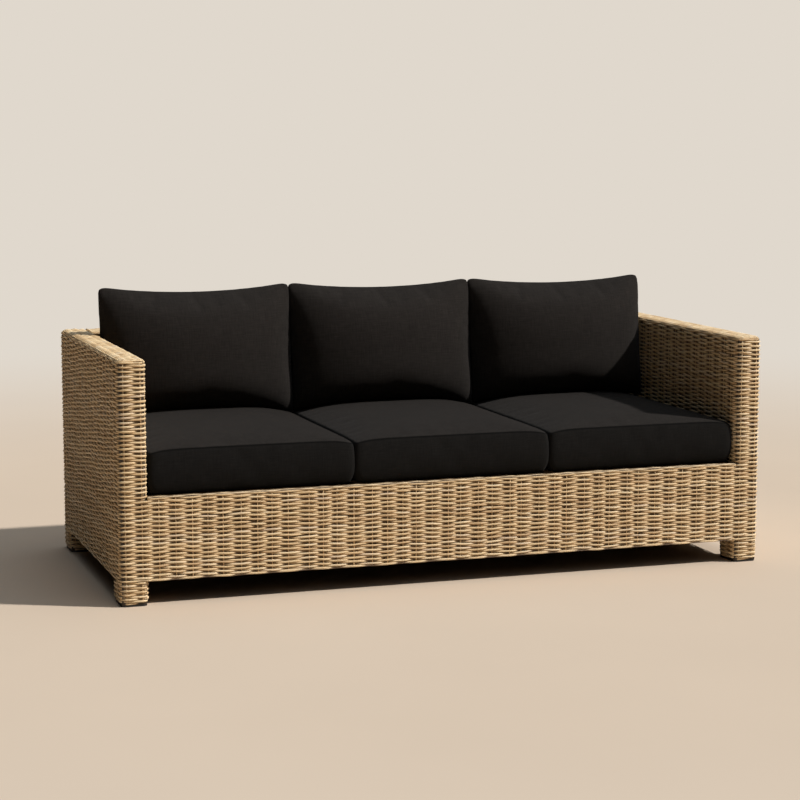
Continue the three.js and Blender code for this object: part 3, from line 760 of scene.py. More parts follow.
def rounded_outline(corners, radii, inset):
    """Places along an open outline with rounded corners, the way out there, and the run at that inset."""
    corners = np.array(corners, float)
    facing = [np.array([leg[1], -leg[0]]) for leg in unit(np.diff(corners, axis=0))]
    points = [corners[0]]
    normals = [facing[0]]
    for i in range(1, len(corners) - 1):
        centre = corners[i] - facing[i - 1] * radii[i] - facing[i] * radii[i]
        for share in np.linspace(0, 1, CORNER_STEPS):
            turn = share * math.pi / 2
            normal = facing[i - 1] * math.cos(turn) + facing[i] * math.sin(turn)
            points.append(centre + normal * radii[i])
            normals.append(normal)
    points = np.array([*points, corners[-1]])
    normals = np.array([*normals, facing[-1]])
    steps = np.linalg.norm(np.diff(points - normals * inset, axis=0), axis=1)
    return points, normals, np.concatenate([[0], np.cumsum(steps)])


class Outline:
    """An outline that rows run along, with the stakes that they pass."""

    def __init__(self, corners, radii, closed=False):
        self.closed = closed
        self.points, self.normals, self.run = rounded_outline(corners, radii, DEPTH)
        self.length = self.run[-1]

    def run_at(self, x, y):
        """The run of the place that lies nearest to a point of the plan."""
        fine = np.linspace(0, self.length, TRIED_PLACES)
        plan = self.at(fine)[0]
        return fine[np.argmin(np.hypot(plan[:, 0] - x, plan[:, 1] - y))]

    def at(self, run):
        point, normal = (
            np.stack([np.interp(run, self.run, values[:, k]) for k in range(2)], -1)
            for values in (self.points, self.normals)
        )
        return point, unit(normal)

    def set_stakes(self, stakes, first_index):
        self.stakes = np.array(stakes)
        self.indices = first_index + np.arange(len(stakes))

    def phase(self, run):
        """How many stakes a row has passed, which goes on evenly beyond the first and the last."""
        ahead = self.stakes[-1] - self.stakes[-2]
        behind = self.stakes[1] - self.stakes[0]
        first, last = self.stakes[0] - BEYOND * behind, self.stakes[-1] + BEYOND * ahead
        indices = [self.indices[0] - BEYOND, *self.indices, self.indices[-1] + BEYOND]
        return np.interp(run, [first, *self.stakes, last], indices)

    def steps(self):
        """Places for the rings of a strand: even between stakes, and closer round the corners."""
        phases = self.phase(np.array([0, self.length]))
        grid = np.arange(math.floor(phases[0] * STEPS_PER_STAKE), math.ceil(phases[1] * STEPS_PER_STAKE) + 1)
        dense = np.linspace(0, self.length, DENSE_PLACES)
        regular = np.interp(grid / STEPS_PER_STAKE, self.phase(dense), dense)
        turning = self.run[np.concatenate([[False], np.abs(np.diff(self.normals[:, 0])) > 1e-6])]
        both = np.unique(np.concatenate([[0, self.length], regular, turning[::2]]))
        keep = [both[0]]
        for place in both[1:]:
            if place - keep[-1] > CLOSEST_RINGS:
                keep.append(place)
        keep[-1] = self.length
        return np.array(keep)


def ring_strand(outline, z, slope, inset, row, rng, mirror, **shape):
    """A row round an outline. slope turns the way out from level to upright, as round a top edge."""
    run = outline.steps()
    if outline.closed:
        run = run[:-1]
    plan, normal = outline.at(run)
    base = np.column_stack([plan - normal * inset, np.full(len(run), z)])
    outward = np.column_stack([normal * math.cos(slope), np.full(len(run), math.sin(slope))])
    base[:, 0] *= mirror
    outward[:, 0] *= mirror
    phase = outline.phase(run)
    if mirror < 0:
        base, outward, phase = base[::-1], outward[::-1], phase[::-1]
        run = outline.length - run[::-1]
    shape["lean"] = LEAN * mirror
    return row_strand(base, outward, run, phase, row, rng, closed=outline.closed, **shape)


def ring_stakes(outline, low, high, rng, mirror):
    out = []
    for run in outline.stakes:
        if not STAKE_MARGIN < run < outline.length - STAKE_MARGIN:
            continue
        plan, normal = outline.at(np.array([run]))
        x, y = (plan - normal * DEPTH)[0]
        facing = (normal[0, 0] * mirror, normal[0, 1], 0)
        out.append(stake_strand([(x * mirror, y, low), (x * mirror, y, high)], facing, rng))
    return out


# Arms and legs


def arm_outline(corners, radii, front_index):
    """Stakes stand a fixed way either side of the middle of the front and of the rear, and evenly between."""
    low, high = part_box("right_arm_wicker")
    outline = Outline(corners, radii)
    middle = (low.x + high.x) / 2
    front = outline.run_at(middle, low.y)
    rear = outline.run_at(middle, high.y)
    first, last = front + STAKE_TO_CENTRE, rear - STAKE_TO_CENTRE
    spaces = round((last - first) / STAKE_PITCH)
    between = list(np.linspace(first, last, spaces + 1))
    spacing = between[1] - between[0]
    before = [front - STAKE_TO_CENTRE - spacing * k for k in range(int(front / spacing) + 2)][::-1]
    after = [rear + STAKE_TO_CENTRE + spacing * k for k in range(int((outline.length - rear) / spacing) + 2)]
    outline.set_stakes(before + between + after, front_index - len(before) + 1)
    return outline


def arm_painted_shade_box(mirror, x, y, z):
    """A box of painted shade between two places across an arm, two along it and two heights."""
    x = sorted((x[0] * mirror, x[1] * mirror))
    return painted_shade_box((x[0], y[0], z[0]), (x[1], y[1], z[1]))


def arm_top_rows(low, high, rng, mirror):
    """Rows across the arm, which turn down inside its last ring, with a few canes of a like tone together."""
    reach = (high.x - low.x) / 2 - TOP_EDGE_RADIUS + TOP_REACH
    centre = (low.x + high.x) / 2 * mirror
    level = high.z - DEPTH + TOP_RISE
    run = np.linspace(-reach, reach, 2 * round(reach / STAKE_TO_CENTRE * STEPS_PER_STAKE) + 1)
    tuck = np.clip((np.abs(run) - reach + TUCK_LENGTH) / TUCK_LENGTH, 0, 1) ** 2 * TUCK_DEPTH
    outward = np.tile([0.0, 0.0, 1.0], (len(run), 1))
    out = []
    for k, y in enumerate(top_row_places(low.y, high.y)):
        base = np.column_stack([centre + run, np.full(len(run), y), level - tuck])
        row = k % 2 + 2 * (k // ROWS_OF_ONE_TONE)
        out.append(row_strand(base, outward, run, run / STAKE_TO_CENTRE, row, rng, **TOP_SHAPE))
    for aside in (-STAKE_TO_CENTRE, 0.0, STAKE_TO_CENTRE):
        ends = (low.y + TOP_STAKE_INSET, high.y - TOP_STAKE_INSET)
        out.append(stake_strand([(centre + aside, y, level - TOP_STAKE_DROP) for y in ends], (0, 0, 1), rng))
    return out


def weave_arm(side, mirror, front_index, seed):
    low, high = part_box("right_arm_wicker")
    rng = np.random.default_rng(seed)
    piece, node = f"{side}_arm_weave", f"{side}_arm_wicker"
    corner = CORNER_RADIUS
    corners = [(low.x, low.y), (high.x, low.y), (high.x, high.y), (low.x, high.y)]
    inner, outer = low.x + SHADE_BOX_INSET, high.x - SHADE_BOX_INSET
    front, rear = low.y + SHADE_BOX_INSET, high.y - SHADE_BOX_INSET

    lower = arm_outline(corners, [0, corner, corner, 0], front_index)
    strands = []
    for row in range(ROWS_BELOW_SEAT):
        inset, shape = (DEPTH, {}) if row > 0 else (FOOT_INSET, FOOT_SHAPE)
        strands.append(ring_strand(lower, row_height(PANEL_FOOT, row), 0, inset, row, rng, mirror, **shape))
    for k in (1, 2):
        z, inset = PANEL_FOOT + STRAND_RADIUS, DEPTH + k * ROW_PITCH
        strands.append(ring_strand(lower, z, DOWNWARD, inset, k, rng, mirror, swing=UNDER_SWING))
    strands += ring_stakes(lower, PANEL_FOOT + STAKE_END, SEAT_RAIL_TOP, rng, mirror)
    sheet = SHADE_BOX_THICKNESS
    for x, y in [
        ((outer - sheet, outer), (front, rear)),
        ((inner, outer - sheet), (front, front + sheet)),
        ((inner, outer - sheet), (rear - sheet, rear)),
    ]:
        strands.append(arm_painted_shade_box(mirror, x, y, (PANEL_FOOT + SHADE_BOX_END, SEAT_RAIL_TOP)))
    finish_weave(f"{piece}_lower", strands, node)

    front_end = (low.x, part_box("back_wicker")[0].y)
    rear_end = (low.x, high.y - ARM_SEAM_RADIUS - ARM_SEAM_LAP)
    radii = [0, corner, corner, corner, ARM_SEAM_RADIUS, 0]
    upper = arm_outline([front_end, *corners, rear_end], radii, front_index)
    edge_start = high.z - TOP_EDGE_RADIUS
    count = round((edge_start - SEAT_RAIL_TOP) / ROW_PITCH)
    rows = []
    for k in range(count):
        z = row_height(SEAT_RAIL_TOP, k)
        rows.append(ring_strand(upper, z, 0, DEPTH, ROWS_BELOW_SEAT + k, rng, mirror))
    rest = ring_stakes(upper, SEAT_RAIL_TOP, edge_start, rng, mirror)
    rest.append(arm_painted_shade_box(mirror, (inner, outer), (front, rear), (SEAT_RAIL_TOP, high.z - SHADE_BOX_INSET)))
    finish_in_halves((f"{piece}_middle", f"{piece}_upper"), rows, rest, node)

    strands = []
    for row, (slope, shape) in enumerate(top_edge_turns(), ROWS_BELOW_SEAT + count):
        z = edge_start + EDGE_BEND * math.sin(slope)
        inset = TOP_EDGE_RADIUS - EDGE_BEND * math.cos(slope)
        strands.append(ring_strand(upper, z, slope, inset, row, rng, mirror, **shape))
    strands += arm_top_rows(low, high, rng, mirror)
    finish_weave(f"{piece}_top", strands, node)


def weave_leg(node, name, seed):
    """A leg in rows round it, with two stakes on each face, and its foot rounded in."""
    low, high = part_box(node)
    rng = np.random.default_rng(seed)
    mirror = 1 if low.x > 0 else -1
    inner, outer = (low.x, high.x) if mirror > 0 else (-high.x, -low.x)
    across, along = (inner + outer) / 2, (low.y + high.y) / 2
    aside = (high.y - low.y) / 4
    left, right = across - STAKE_TO_CENTRE, across + STAKE_TO_CENTRE
    ends = (outer, along)
    corners = [ends, (outer, high.y), (inner, high.y), (inner, low.y), (outer, low.y), ends]
    passed = [(outer, along + aside), (right, high.y), (left, high.y), (inner, along + aside)]
    passed += [(x, 2 * along - y) for x, y in passed[::-1]]
    plan = Outline(corners, [0, *[CORNER_RADIUS] * 4, 0], closed=True)
    stakes = [plan.run_at(x, y) for x, y in passed]
    stakes = [stakes[-1] - plan.length, *stakes, stakes[0] + plan.length]
    plan.set_stakes(stakes, 0 if mirror > 0 else 1)
    strands = []
    rows = round((high.z - low.z) / ROW_PITCH)
    for k in range(rows):
        z = high.z - (k + 0.5) * (high.z - low.z) / rows
        rise = z - low.z
        rounding = max(0, LEG_EDGE_RADIUS - rise)
        inset = DEPTH + LEG_EDGE_RADIUS - math.sqrt(LEG_EDGE_RADIUS**2 - rounding**2)
        shape = {"swing": LEG_SWING if rise > LEG_EDGE_RADIUS else LEG_FOOT_SWING, "shade": LEG_SHADE}
        strands.append(ring_strand(plan, z, 0, inset, -1 - k, rng, mirror, **shape))
    strands += ring_stakes(plan, low.z + LEG_STAKE_FOOT, high.z + LEG_STAKE_LAP, rng, mirror)
    finish_weave(name, strands, node)


# Back and apron


def lengthwise_stake_places():
    """Where the stakes of the back and the apron stand, a little unevenly between the first and the last."""
    spaces = round(2 * FIRST_STAKE / STAKE_PITCH)
    pitch = 2 * FIRST_STAKE / spaces
    shift = np.random.default_rng(STAKE_SEED).uniform(-STAKE_DRIFT, STAKE_DRIFT, spaces + 1)
    shift[[0, 1, -2, -1]] = 0
    return -FIRST_STAKE + (np.arange(spaces + 1) + shift) * pitch, pitch


def lengthwise_run(half):
    """Ring places along a panel, on the stakes' own steps, with the stakes counted from its left end."""
    stakes, pitch = lengthwise_stake_places()
    last = len(stakes) - 1
    steps = np.arange(0, last * STEPS_PER_STAKE + 1) / STEPS_PER_STAKE
    inner = np.interp(steps, np.arange(last + 1), stakes)
    ends = np.array([(FIRST_STAKE + half) / 2, half - END_LAP, half])
    beyond = (ends - FIRST_STAKE) / pitch
    return np.concatenate([-ends[::-1], inner, ends]), np.concatenate([-beyond[::-1], steps, last + beyond])


def lengthwise_row(half, y, z, slope, row, rng, **shape):
    run, phase = lengthwise_run(half)
    base = np.column_stack([run, np.full(len(run), y), np.full(len(run), z)])
    outward = np.tile([0.0, math.cos(slope), math.sin(slope)], (len(run), 1))
    return row_strand(base, outward, run, phase, row, rng, **shape)


def rows_under(half, face, pitch, z, rng):
    """Three rows under a panel's foot, from its face inwards."""
    under = {"swing": UNDER_SWING}
    return [lengthwise_row(half, face + k * pitch, z, DOWNWARD, k, rng, **under) for k in (1, 2, 3)]


def lengthwise_stakes(profile, outward, rng):
    stakes, _ = lengthwise_stake_places()
    return [stake_strand([(x, y, z) for y, z in profile], outward, rng) for x in stakes]


def weave_apron():
    low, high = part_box("front_apron_wicker")
    half = high.x + END_LAP
    rng = np.random.default_rng(APRON_SEED)
    face = low.y + DEPTH
    strands = []
    for row in range(APRON_ROWS):
        z = row_height(PANEL_FOOT, row)
        swing = APRON_END_SWING if row in (0, APRON_ROWS - 1) else 1.0
        strands.append(lengthwise_row(half, face, z, FORWARD, row, rng, swing=swing))
    for k, z in enumerate((low.z + BORDER_FOOT, high.z - BORDER_HEAD)):
        strands.append(lengthwise_row(half, low.y + BORDER_INSETS[k], z, FORWARD, k, rng, **BORDER_SHAPE))
    for k, shade in enumerate(LEDGE_SHADES, 1):
        y = low.y + THIN_RADIUS + LEDGE_START + k * LEDGE_PITCH
        shape = {"swing": UNDER_SWING, "shade": shade}
        strands.append(lengthwise_row(half, y, high.z - LEDGE_DROP, UPWARD, k, rng, **shape))
    strands += rows_under(half, low.y + THIN_RADIUS, ROW_PITCH, low.z + STRAND_RADIUS, rng)
    strands += lengthwise_stakes([(face, low.z + STAKE_END), (face, high.z - STAKE_END)], (0, -1, 0), rng)
    behind = low.y + SHADE_BOX_INSET
    sheet_high = (high.x, behind + SHADE_BOX_THICKNESS, high.z - SHADE_BOX_END)
    strands.append(painted_shade_box((-high.x, behind, low.z + SHADE_BOX_END), sheet_high))
    finish_weave("front_apron_weave", strands, "front_apron_wicker")


def weave_back():
    low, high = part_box("back_wicker")
    half = high.x + END_LAP
    rng = np.random.default_rng(BACK_SEED)
    edge_start = high.z - TOP_EDGE_RADIUS
    rows_above = round((edge_start - SEAT_RAIL_TOP) / ROW_PITCH)
    rear, face = high.y - DEPTH, low.y + DEPTH
    ahead = high.y - SHADE_BOX_INSET

    strands = []
    for row in range(1, ROWS_BELOW_SEAT):
        strands.append(lengthwise_row(half, rear, row_height(PANEL_FOOT, row), REARWARD, row, rng))
    y, z = high.y - THIN_RADIUS - BACK_FOOT_INSET, low.z + THIN_RADIUS
    strands.append(lengthwise_row(half, y, z, REARWARD, 0, rng, **BACK_FOOT_SHAPE))
    strands += rows_under(half, rear, -ROW_PITCH, low.z + STRAND_RADIUS, rng)
    strands += lengthwise_stakes([(rear, low.z + STAKE_END), (rear, SEAT_RAIL_TOP)], (0, 1, 0), rng)
    sheet_low = (-high.x, ahead - SHADE_BOX_THICKNESS, low.z + SHADE_BOX_END)
    strands.append(painted_shade_box(sheet_low, (high.x, ahead, SEAT_RAIL_TOP)))
    finish_weave("back_weave_rear_lower", strands, "back_wicker")

    box_low = (-high.x, low.y + SHADE_BOX_INSET, SEAT_RAIL_TOP)
    inner_shade_box = [painted_shade_box(box_low, (high.x, ahead, high.z - SHADE_BOX_INSET))]
    for parts, y, slope, facing, inside in (
        (("rear_middle", "rear_upper"), rear, REARWARD, 1, inner_shade_box),
        (("front_lower", "front_upper"), face, FORWARD, -1, []),
    ):
        rows = []
        for k in range(rows_above):
            z = row_height(SEAT_RAIL_TOP, k)
            rows.append(lengthwise_row(half, y, z, slope, ROWS_BELOW_SEAT + k, rng))
        stakes = lengthwise_stakes([(y, SEAT_RAIL_TOP), (y, edge_start)], (0, facing, 0), rng)
        finish_in_halves([f"back_weave_{part}" for part in parts], rows, stakes + inside, "back_wicker")

    strands = []
    for at_front, centre in ((False, high.y - TOP_EDGE_RADIUS), (True, low.y + TOP_EDGE_RADIUS)):
        for row, (rise, shape) in enumerate(top_edge_turns(), ROWS_BELOW_SEAT + rows_above):
            slope = math.pi - rise if at_front else rise
            y = centre + EDGE_BEND * math.cos(slope)
            z = edge_start + EDGE_BEND * math.sin(slope)
            strands.append(lengthwise_row(half, y, z, slope, row, rng, **shape))
    level = high.z - DEPTH
    for k, y in enumerate(top_row_places(low.y, high.y)):
        strands.append(lengthwise_row(half, y, level + TOP_RISE, UPWARD, k, rng, **TOP_SHAPE))
    profile = [(low.y + TOP_STAKE_INSET, level), (high.y - TOP_STAKE_INSET, level)]
    strands += lengthwise_stakes(profile, (0, 0, 1), rng)
    finish_weave("back_weave_top", strands, "back_wicker")


# Sizes and forms of the cushions

SEAT_WIDTH = 0.6027
SEAT_BORDER = 0.130
SEAT_FORWARD = 0.006
SOLID_CROWN = 0.024
SOLID_DOME = 2.6
SOLID_EDGE = 0.8
BACK_WIDTH = 0.6130
BACK_HEIGHT = 0.420
BACK_BORDER = 0.012
BACK_TILT = math.radians(7)
BACK_SINK = 0.028
BACK_PRESS = 0.008
BACK_HALF_THICKNESS = 0.130
BACK_FOOT_AHEAD = 0.122
REST_GAP = 0.0008
GRID_STEP = 0.0115
BACK_GRID_FINER = 1.15
BACK_FOOT_EDGE = -0.02
ROLL_FROM = 0.4
FOOT_DROP_SHARE = 0.4
BULGE_POWER = 12
CORNER_POWER = 10
SIDE_POWER = 8
SEAM_LOOP = 0.0035
SEAT_SEAM_GROOVE = 0.0022
BACK_SEAM_GROOVE = 0.0015
ON_A_FACE = 1e-5
NEAR_A_FACE = 1e-4

SEAT_FORM = {
    "corner": 0.016,
    "side_in": 0.003,
    "end_in": 0.003,
    "bulge": 0.007,
    "roll": 0.010,
    "corner_drop": 0.006,
    "side_drop": 0.006,
    "square_foot": 0.6,
    "low_set": 0.0,
    "dome": 3.0,
    "dome_along": 3.0,
    "edge": 0.8,
    "crown_above": 0.021,
    "crown_below": 0.0,
}
BACK_FORM = {
    **dict.fromkeys(SEAT_FORM, 0.0),
    "corner": 0.026,
    "side_in": 0.001,
    "end_in": 0.021,
    "low_set": 0.20,
    "dome": 2.2,
    "dome_along": 3.0,
    "edge": 0.62,
    "crown_above": 0.114,
    "crown_below": 0.114,
}
CLOTH = {
    "quality": 6,
    "mass": 0.25,
    "tension_stiffness": 18,
    "compression_stiffness": 18,
    "shear_stiffness": 8,
    "use_pressure": True,
    "vertex_group_mass": "seams",
}
SEAT_CLOTH = {"bending_stiffness": 6.0, "uniform_pressure_force": 1.6, "shrink_min": -0.003}
BACK_CLOTH = {"bending_stiffness": 3.0, "uniform_pressure_force": 3.0, "shrink_min": -0.016}


# Shaping of covers


def choose_edges(box, wanted):
    """Selects the edges whose ends pass a test, and nothing else, and starts to edit the mesh."""
    for edge in box.data.edges:
        edge.select = bool(wanted(*[box.data.vertices[i].co for i in edge.vertices]))
    for parts in (box.data.vertices, box.data.polygons):
        for part in parts:
            part.select = False
    bpy.ops.object.mode_set(mode="EDIT")


def gridded_box(name, size, steps):
    """A box with its faces cut into an even grid, by cutting the edges of each direction in turn."""
    bpy.ops.object.select_all(action="DESELECT")
    bpy.ops.mesh.primitive_cube_add(size=1, location=(0, 0, 0))
    box = bpy.context.object
    box.name = name
    bpy.ops.object.mode_set(mode="EDIT")
    bpy.ops.mesh.select_mode(type="EDGE")
    bpy.ops.mesh.select_all(action="SELECT")
    bpy.ops.transform.resize(value=size)
    for axis in range(3):
        bpy.ops.object.mode_set(mode="OBJECT")
        choose_edges(box, lambda one, other: abs(one[axis] - other[axis]) > 0.9 * (one - other).length)
        bpy.ops.mesh.subdivide(number_cuts=steps[axis] - 1)
    bpy.ops.object.mode_set(mode="OBJECT")
    return box


def close_loops(box, size):
    """Close edge loops either side of the seams round the upper and the lower face of a box."""

    def on_rim(*ends):
        across, along, up = (
            all(abs(abs(end[k]) - size[k] / 2) < ON_A_FACE for end in ends) for k in range(3)
        )
        return up and (across or along)

    choose_edges(box, on_rim)
    bpy.ops.mesh.select_mode(type="EDGE")
    bpy.ops.mesh.bevel(offset=SEAM_LOOP, segments=2, profile=1.0, affect="EDGES")
    bpy.ops.object.mode_set(mode="OBJECT")


def measured_cloth(box):
    """A UV map in metres, laid over each face of the box before it is shaped."""
    layer = box.data.uv_layers.new(name="cloth")
    for face in box.data.polygons:
        across = max(range(3), key=lambda k: abs(face.normal[k]))
        first, second = [k for k in range(3) if k != across]
        for i in face.loop_indices:
            point = box.data.vertices[box.data.loops[i].vertex_index].co
            layer.data[i].uv = (point[first], point[second])
    box.data.uv_layers.active = layer


def fullness(value, power):
    return np.clip(1 - np.abs(value) ** power, 0, 1)


def padded_form(points, size, form):
    """Draws a gridded box out to a cushion: rounded plan corners, drawn-in sides, crowned faces."""
    u, v, w = (np.clip(2 * points[:, k] / size[k], -1, 1) for k in range(3))
    x = size[0] / 2 * u
    y = size[1] / 2 * v
    corner = form["corner"] * (1 - form["square_foot"] * np.clip(-w, 0, 1))
    over_x = np.abs(x) - size[0] / 2 + corner
    over_y = np.abs(y) - size[1] / 2 + corner
    both = (over_x > 0) & (over_y > 0)
    share = np.where(both, np.maximum(over_x, over_y) / np.maximum(np.hypot(over_x, over_y), 1e-9), 1)
    x = np.where(both, np.sign(x) * (size[0] / 2 - corner + over_x * share), x)
    y = np.where(both, np.sign(y) * (size[1] / 2 - corner + over_y * share), y)
    rolled = np.clip((-w - ROLL_FROM) / (1 - ROLL_FROM), 0, 1) ** 2
    bulge = form["bulge"] * (1 - w**2) - form["roll"] * rolled
    x = x - u * form["side_in"] * (1 - v**2) + np.sign(u) * bulge * np.abs(u) ** BULGE_POWER
    y = y - v * form["end_in"] * (1 - u**2) + np.sign(v) * bulge * np.abs(v) ** BULGE_POWER
    level = v + form["low_set"] * (1 - v**2)
    dome = (fullness(u, form["dome"]) * fullness(level, form["dome_along"])) ** form["edge"]
    crown = np.where(w > 0, form["crown_above"], form["crown_below"])
    drop = form["corner_drop"] * (np.abs(u) * np.abs(v)) ** CORNER_POWER
    drop = drop * np.where(w > 0, 1.0, FOOT_DROP_SHARE)
    drop = drop + form["side_drop"] * np.abs(u) ** SIDE_POWER * np.clip(w, 0, 1)
    z = w * (size[2] / 2 - drop) + w * crown * dome
    return np.column_stack([x, y, z])


def fill_with_foam(piece, pinned, own_cloth, cap, steps):
    """Cloth under pressure, held at its seams, with its movement capped, so that the covers look filled."""
    start = places(piece)
    select_only(piece)
    held = piece.vertex_groups.new(name="seams")
    held.add([int(i) for i in np.flatnonzero(pinned)], 1.0, "REPLACE")
    bpy.ops.object.modifier_add(type="CLOTH")
    cover = piece.modifiers[-1]
    for name, value in {**CLOTH, **own_cloth}.items():
        setattr(cover.settings, name, value)
    cover.settings.effector_weights.gravity = 0
    for step in range(1, steps + 1):
        bpy.context.scene.frame_set(step)
    bpy.ops.object.modifier_apply(modifier=cover.name)
    bpy.context.scene.frame_set(1)
    piece.vertex_groups.clear()
    moved = places(piece) - start
    far = np.linalg.norm(moved, axis=1)
    held_back = np.tanh(far / cap) * cap / np.maximum(far, 1e-9)
    set_places(piece, start + moved * held_back[:, None])


def soften(piece, chosen, times):
    """Evens out the small folds of some vertices."""
    select_only(piece)
    piece.data.vertices.foreach_set("select", chosen)
    for parts in (piece.data.edges, piece.data.polygons):
        parts.foreach_set("select", np.zeros(len(parts), bool))
    bpy.ops.object.mode_set(mode="EDIT")
    bpy.ops.mesh.select_mode(type="VERT")
    bpy.ops.mesh.vertices_smooth(factor=0.5, repeat=times)
    bpy.ops.object.mode_set(mode="OBJECT")


def mark(piece, title, chosen):
    values = piece.data.attributes.new(title, "FLOAT", "POINT")
    values.data.foreach_set("value", chosen.astype(np.float32))


def mark_seam(piece, loop, groove):
    """Presses a seam's loop in and marks it for the fabric's darker stitching."""
    normals = np.zeros(len(piece.data.vertices) * 3)
    piece.data.vertices.foreach_get("normal", normals)
    points = places(piece)
    points[loop] -= normals.reshape(-1, 3)[loop] * groove
    set_places(piece, points)
    mark(piece, "seam", loop)


def smooth_cover(piece):
    select_only(piece)
    bpy.ops.object.modifier_add(type="SUBSURF")
    finer = piece.modifiers[-1]
    finer.levels = 1
    finer.render_levels = 1
    bpy.ops.object.modifier_apply(modifier=finer.name)
    bpy.ops.object.shade_smooth()


# Cushions


def seat_block():
    """One seat cushion about its own middle, before it is put in its place."""
    low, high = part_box("seat_cushion_middle")
    size = (SEAT_WIDTH, high.y - low.y + SEAT_FORWARD, SEAT_BORDER)
    block = gridded_box("seat_cushion_middle_cover", size, [round(side / GRID_STEP) for side in size])
    close_loops(block, size)
    measured_cloth(block)
    flat = places(block)
    on_side = np.abs(np.abs(flat) - np.array(size) / 2) < NEAR_A_FACE
    loop = (on_side[:, 0] | on_side[:, 1]) & on_side[:, 2]
    bottom = flat[:, 2] < -size[2] / 2 + NEAR_A_FACE
    set_places(block, padded_form(flat, size, SEAT_FORM))
    fill_with_foam(block, loop | bottom, SEAT_CLOTH, cap=0.007, steps=16)
    soften(block, ~(loop | bottom), times=3)
    mark_seam(block, loop, SEAT_SEAM_GROOVE)
    # The border band, which the canvas darkens with painted shade
    mark(block, "band", np.abs(flat[:, 2]) < size[2] / 2 - NEAR_A_FACE)
    smooth_cover(block)
    points = places(block)
    points[:, 1] -= SEAT_FORWARD / 2
    points[:, 2] = np.maximum(points[:, 2], -size[2] / 2)
    set_places(block, points)
    return block, size


def seat_top(points, size, middle):
    """The height of the seat cushion's crown under a place, as the CAD's solid has it."""
    u = np.clip(2 * points[:, 0] / size[0], -1, 1)
    v = np.clip(2 * (points[:, 1] - middle.y) / size[1], -1, 1)
    dome = (fullness(u, SOLID_DOME) * fullness(v, SOLID_DOME)) ** SOLID_EDGE
    return middle.z + size[2] / 2 + SOLID_CROWN * dome


def height_under(cover, points):
    """How high a cover's upper face is at the plan places of points, or far below where it has none."""
    tree = BVHTree.FromObject(cover, bpy.context.evaluated_depsgraph_get())
    heights = np.full(len(points), -1.0)
    for i, (x, y, _) in enumerate(points):
        place = tree.ray_cast((x, y, 1.0), (0, 0, -1))[0]
        if place is not None:
            heights[i] = place.z
    return heights


def back_pillow():
    """One back cushion about its own middle, lying flat, with a seam round its edge."""
    size = (BACK_WIDTH, BACK_HEIGHT, BACK_BORDER)
    steps = [*(round(side / GRID_STEP * BACK_GRID_FINER) for side in size[:2]), 2]
    pillow = gridded_box("back_cushion_middle_cover", size, steps)
    measured_cloth(pillow)
    flat = places(pillow)
    loop = np.abs(flat[:, 2]) < ON_A_FACE
    set_places(pillow, padded_form(flat, size, BACK_FORM))
    fill_with_foam(pillow, loop, BACK_CLOTH, cap=0.014, steps=18)
    soften(pillow, ~loop, times=1)
    soften(pillow, ~loop & (flat[:, 1] < BACK_FOOT_EDGE), times=8)
    mark_seam(pillow, loop, BACK_SEAM_GROOVE)
    smooth_cover(pillow)
    return pillow


def copy_of(piece):
    copy = piece.copy()
    copy.data = piece.data.copy()
    bpy.context.scene.collection.objects.link(copy)
    return copy


def set_cushion(cover, points, kind, side):
    """Puts a cover in its place, and says which cushion it is."""
    set_places(cover, points)
    cover.name = f"{kind}_cushion_{side}_cover"
    cover.data.name = cover.name
    cover.data.materials.clear()
    cover.data.materials.append(canvas)
    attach(cover, f"{side}_{kind}_cushion")
    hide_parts(f"{kind}_cushion_{side}")


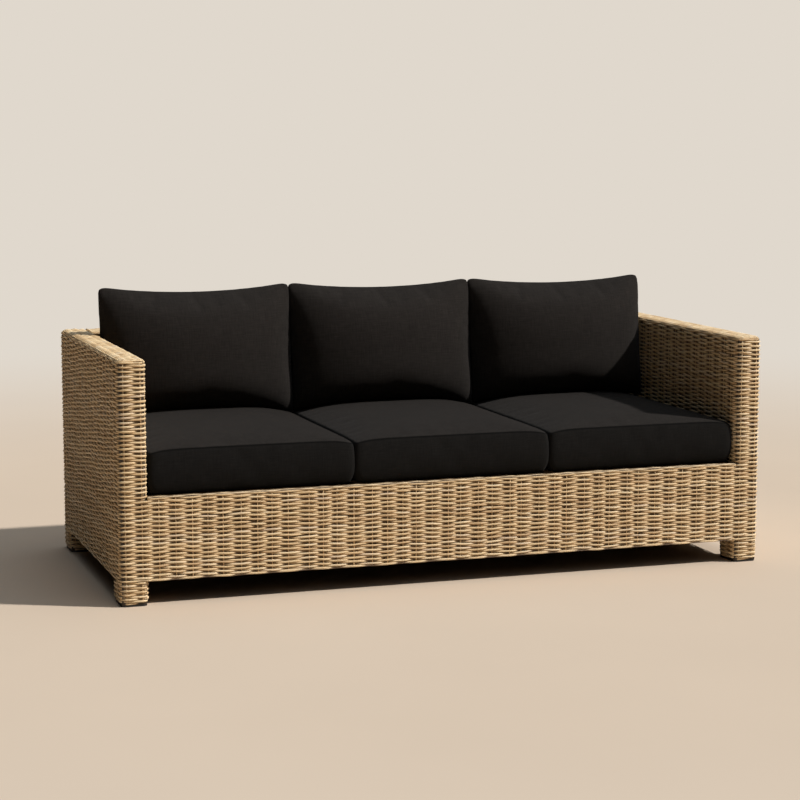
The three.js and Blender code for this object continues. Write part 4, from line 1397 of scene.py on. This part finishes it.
def make_cushions():
    """Three seat cushions, and three back cushions that lean on the back and stand on the seat's crown."""
    low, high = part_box("seat_cushion_middle")
    middle = (low + high) / 2
    middle.z = low.z + SEAT_BORDER / 2
    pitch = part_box("seat_cushion_right")[0].x - low.x
    beside = pitch / 2 - REST_GAP / 2
    back_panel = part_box("back_wicker")[0].y
    arm_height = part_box("right_arm_wicker")[1].z
    seat, size = seat_block()
    pillow = back_pillow()

    seat_points = places(seat)
    seat_points[:, 0] = np.clip(seat_points[:, 0], -beside, beside)
    set_places(seat, seat_points)
    seat_points += [0, middle.y, middle.z]

    seat_rear = seat_top(np.array([[0.0, back_panel - BACK_FOOT_AHEAD]]), size, middle)[0]
    height = seat_rear + BACK_HEIGHT / 2 * math.cos(BACK_TILT) - BACK_SINK
    depth = back_panel + BACK_PRESS - BACK_HALF_THICKNESS / math.cos(BACK_TILT)
    depth -= (arm_height - height) * math.tan(BACK_TILT)
    turn = math.pi / 2 - BACK_TILT
    flat = places(pillow)
    leant = flat.copy()
    leant[:, 0] = np.clip(flat[:, 0], -beside, beside)
    leant[:, 1] = flat[:, 1] * math.cos(turn) - flat[:, 2] * math.sin(turn) + depth
    leant[:, 1] = np.minimum(leant[:, 1], back_panel - REST_GAP)
    leant[:, 2] = flat[:, 1] * math.sin(turn) + flat[:, 2] * math.cos(turn) + height
    seat_under = height_under(seat, leant - np.array(middle)) + middle.z
    leant[:, 2] = np.maximum(leant[:, 2], np.maximum(seat_under, seat_top(leant, size, middle)) + REST_GAP)

    for side, shift in (("left", -pitch), ("right", pitch), ("middle", 0.0)):
        for kind, cover, points, fill in (("seat", seat, seat_points, 0.85), ("back", pillow, leant, 0.8)):
            own = cover if side == "middle" else copy_of(cover)
            set_cushion(own, points + [shift, 0, 0], kind, side)


# The whole scene

cloudy = cloudy_group()
fine_grain = fine_grain_group()
threads = woven_threads_group()
rattan = rattan_material()
canvas = fabric_material()

add_camera()
add_floor()
add_light()
for part, (name, finish) in PLAIN_FINISHES.items():
    dress(grained_material(name, **finish), part)
dress(webbing_material(), "webbing_")

weave_arm("right", mirror=1, front_index=38, seed=RIGHT_ARM_SEED)
weave_arm("left", mirror=-1, front_index=1, seed=LEFT_ARM_SEED)
weave_apron()
weave_back()
legs = ("left_front", "left_rear", "right_front", "right_rear")
for seed, corner in enumerate(legs, FIRST_LEG_SEED):
    weave_leg(f"{corner}_leg_wrap", f"{corner}_leg_weave", seed)
make_cushions()
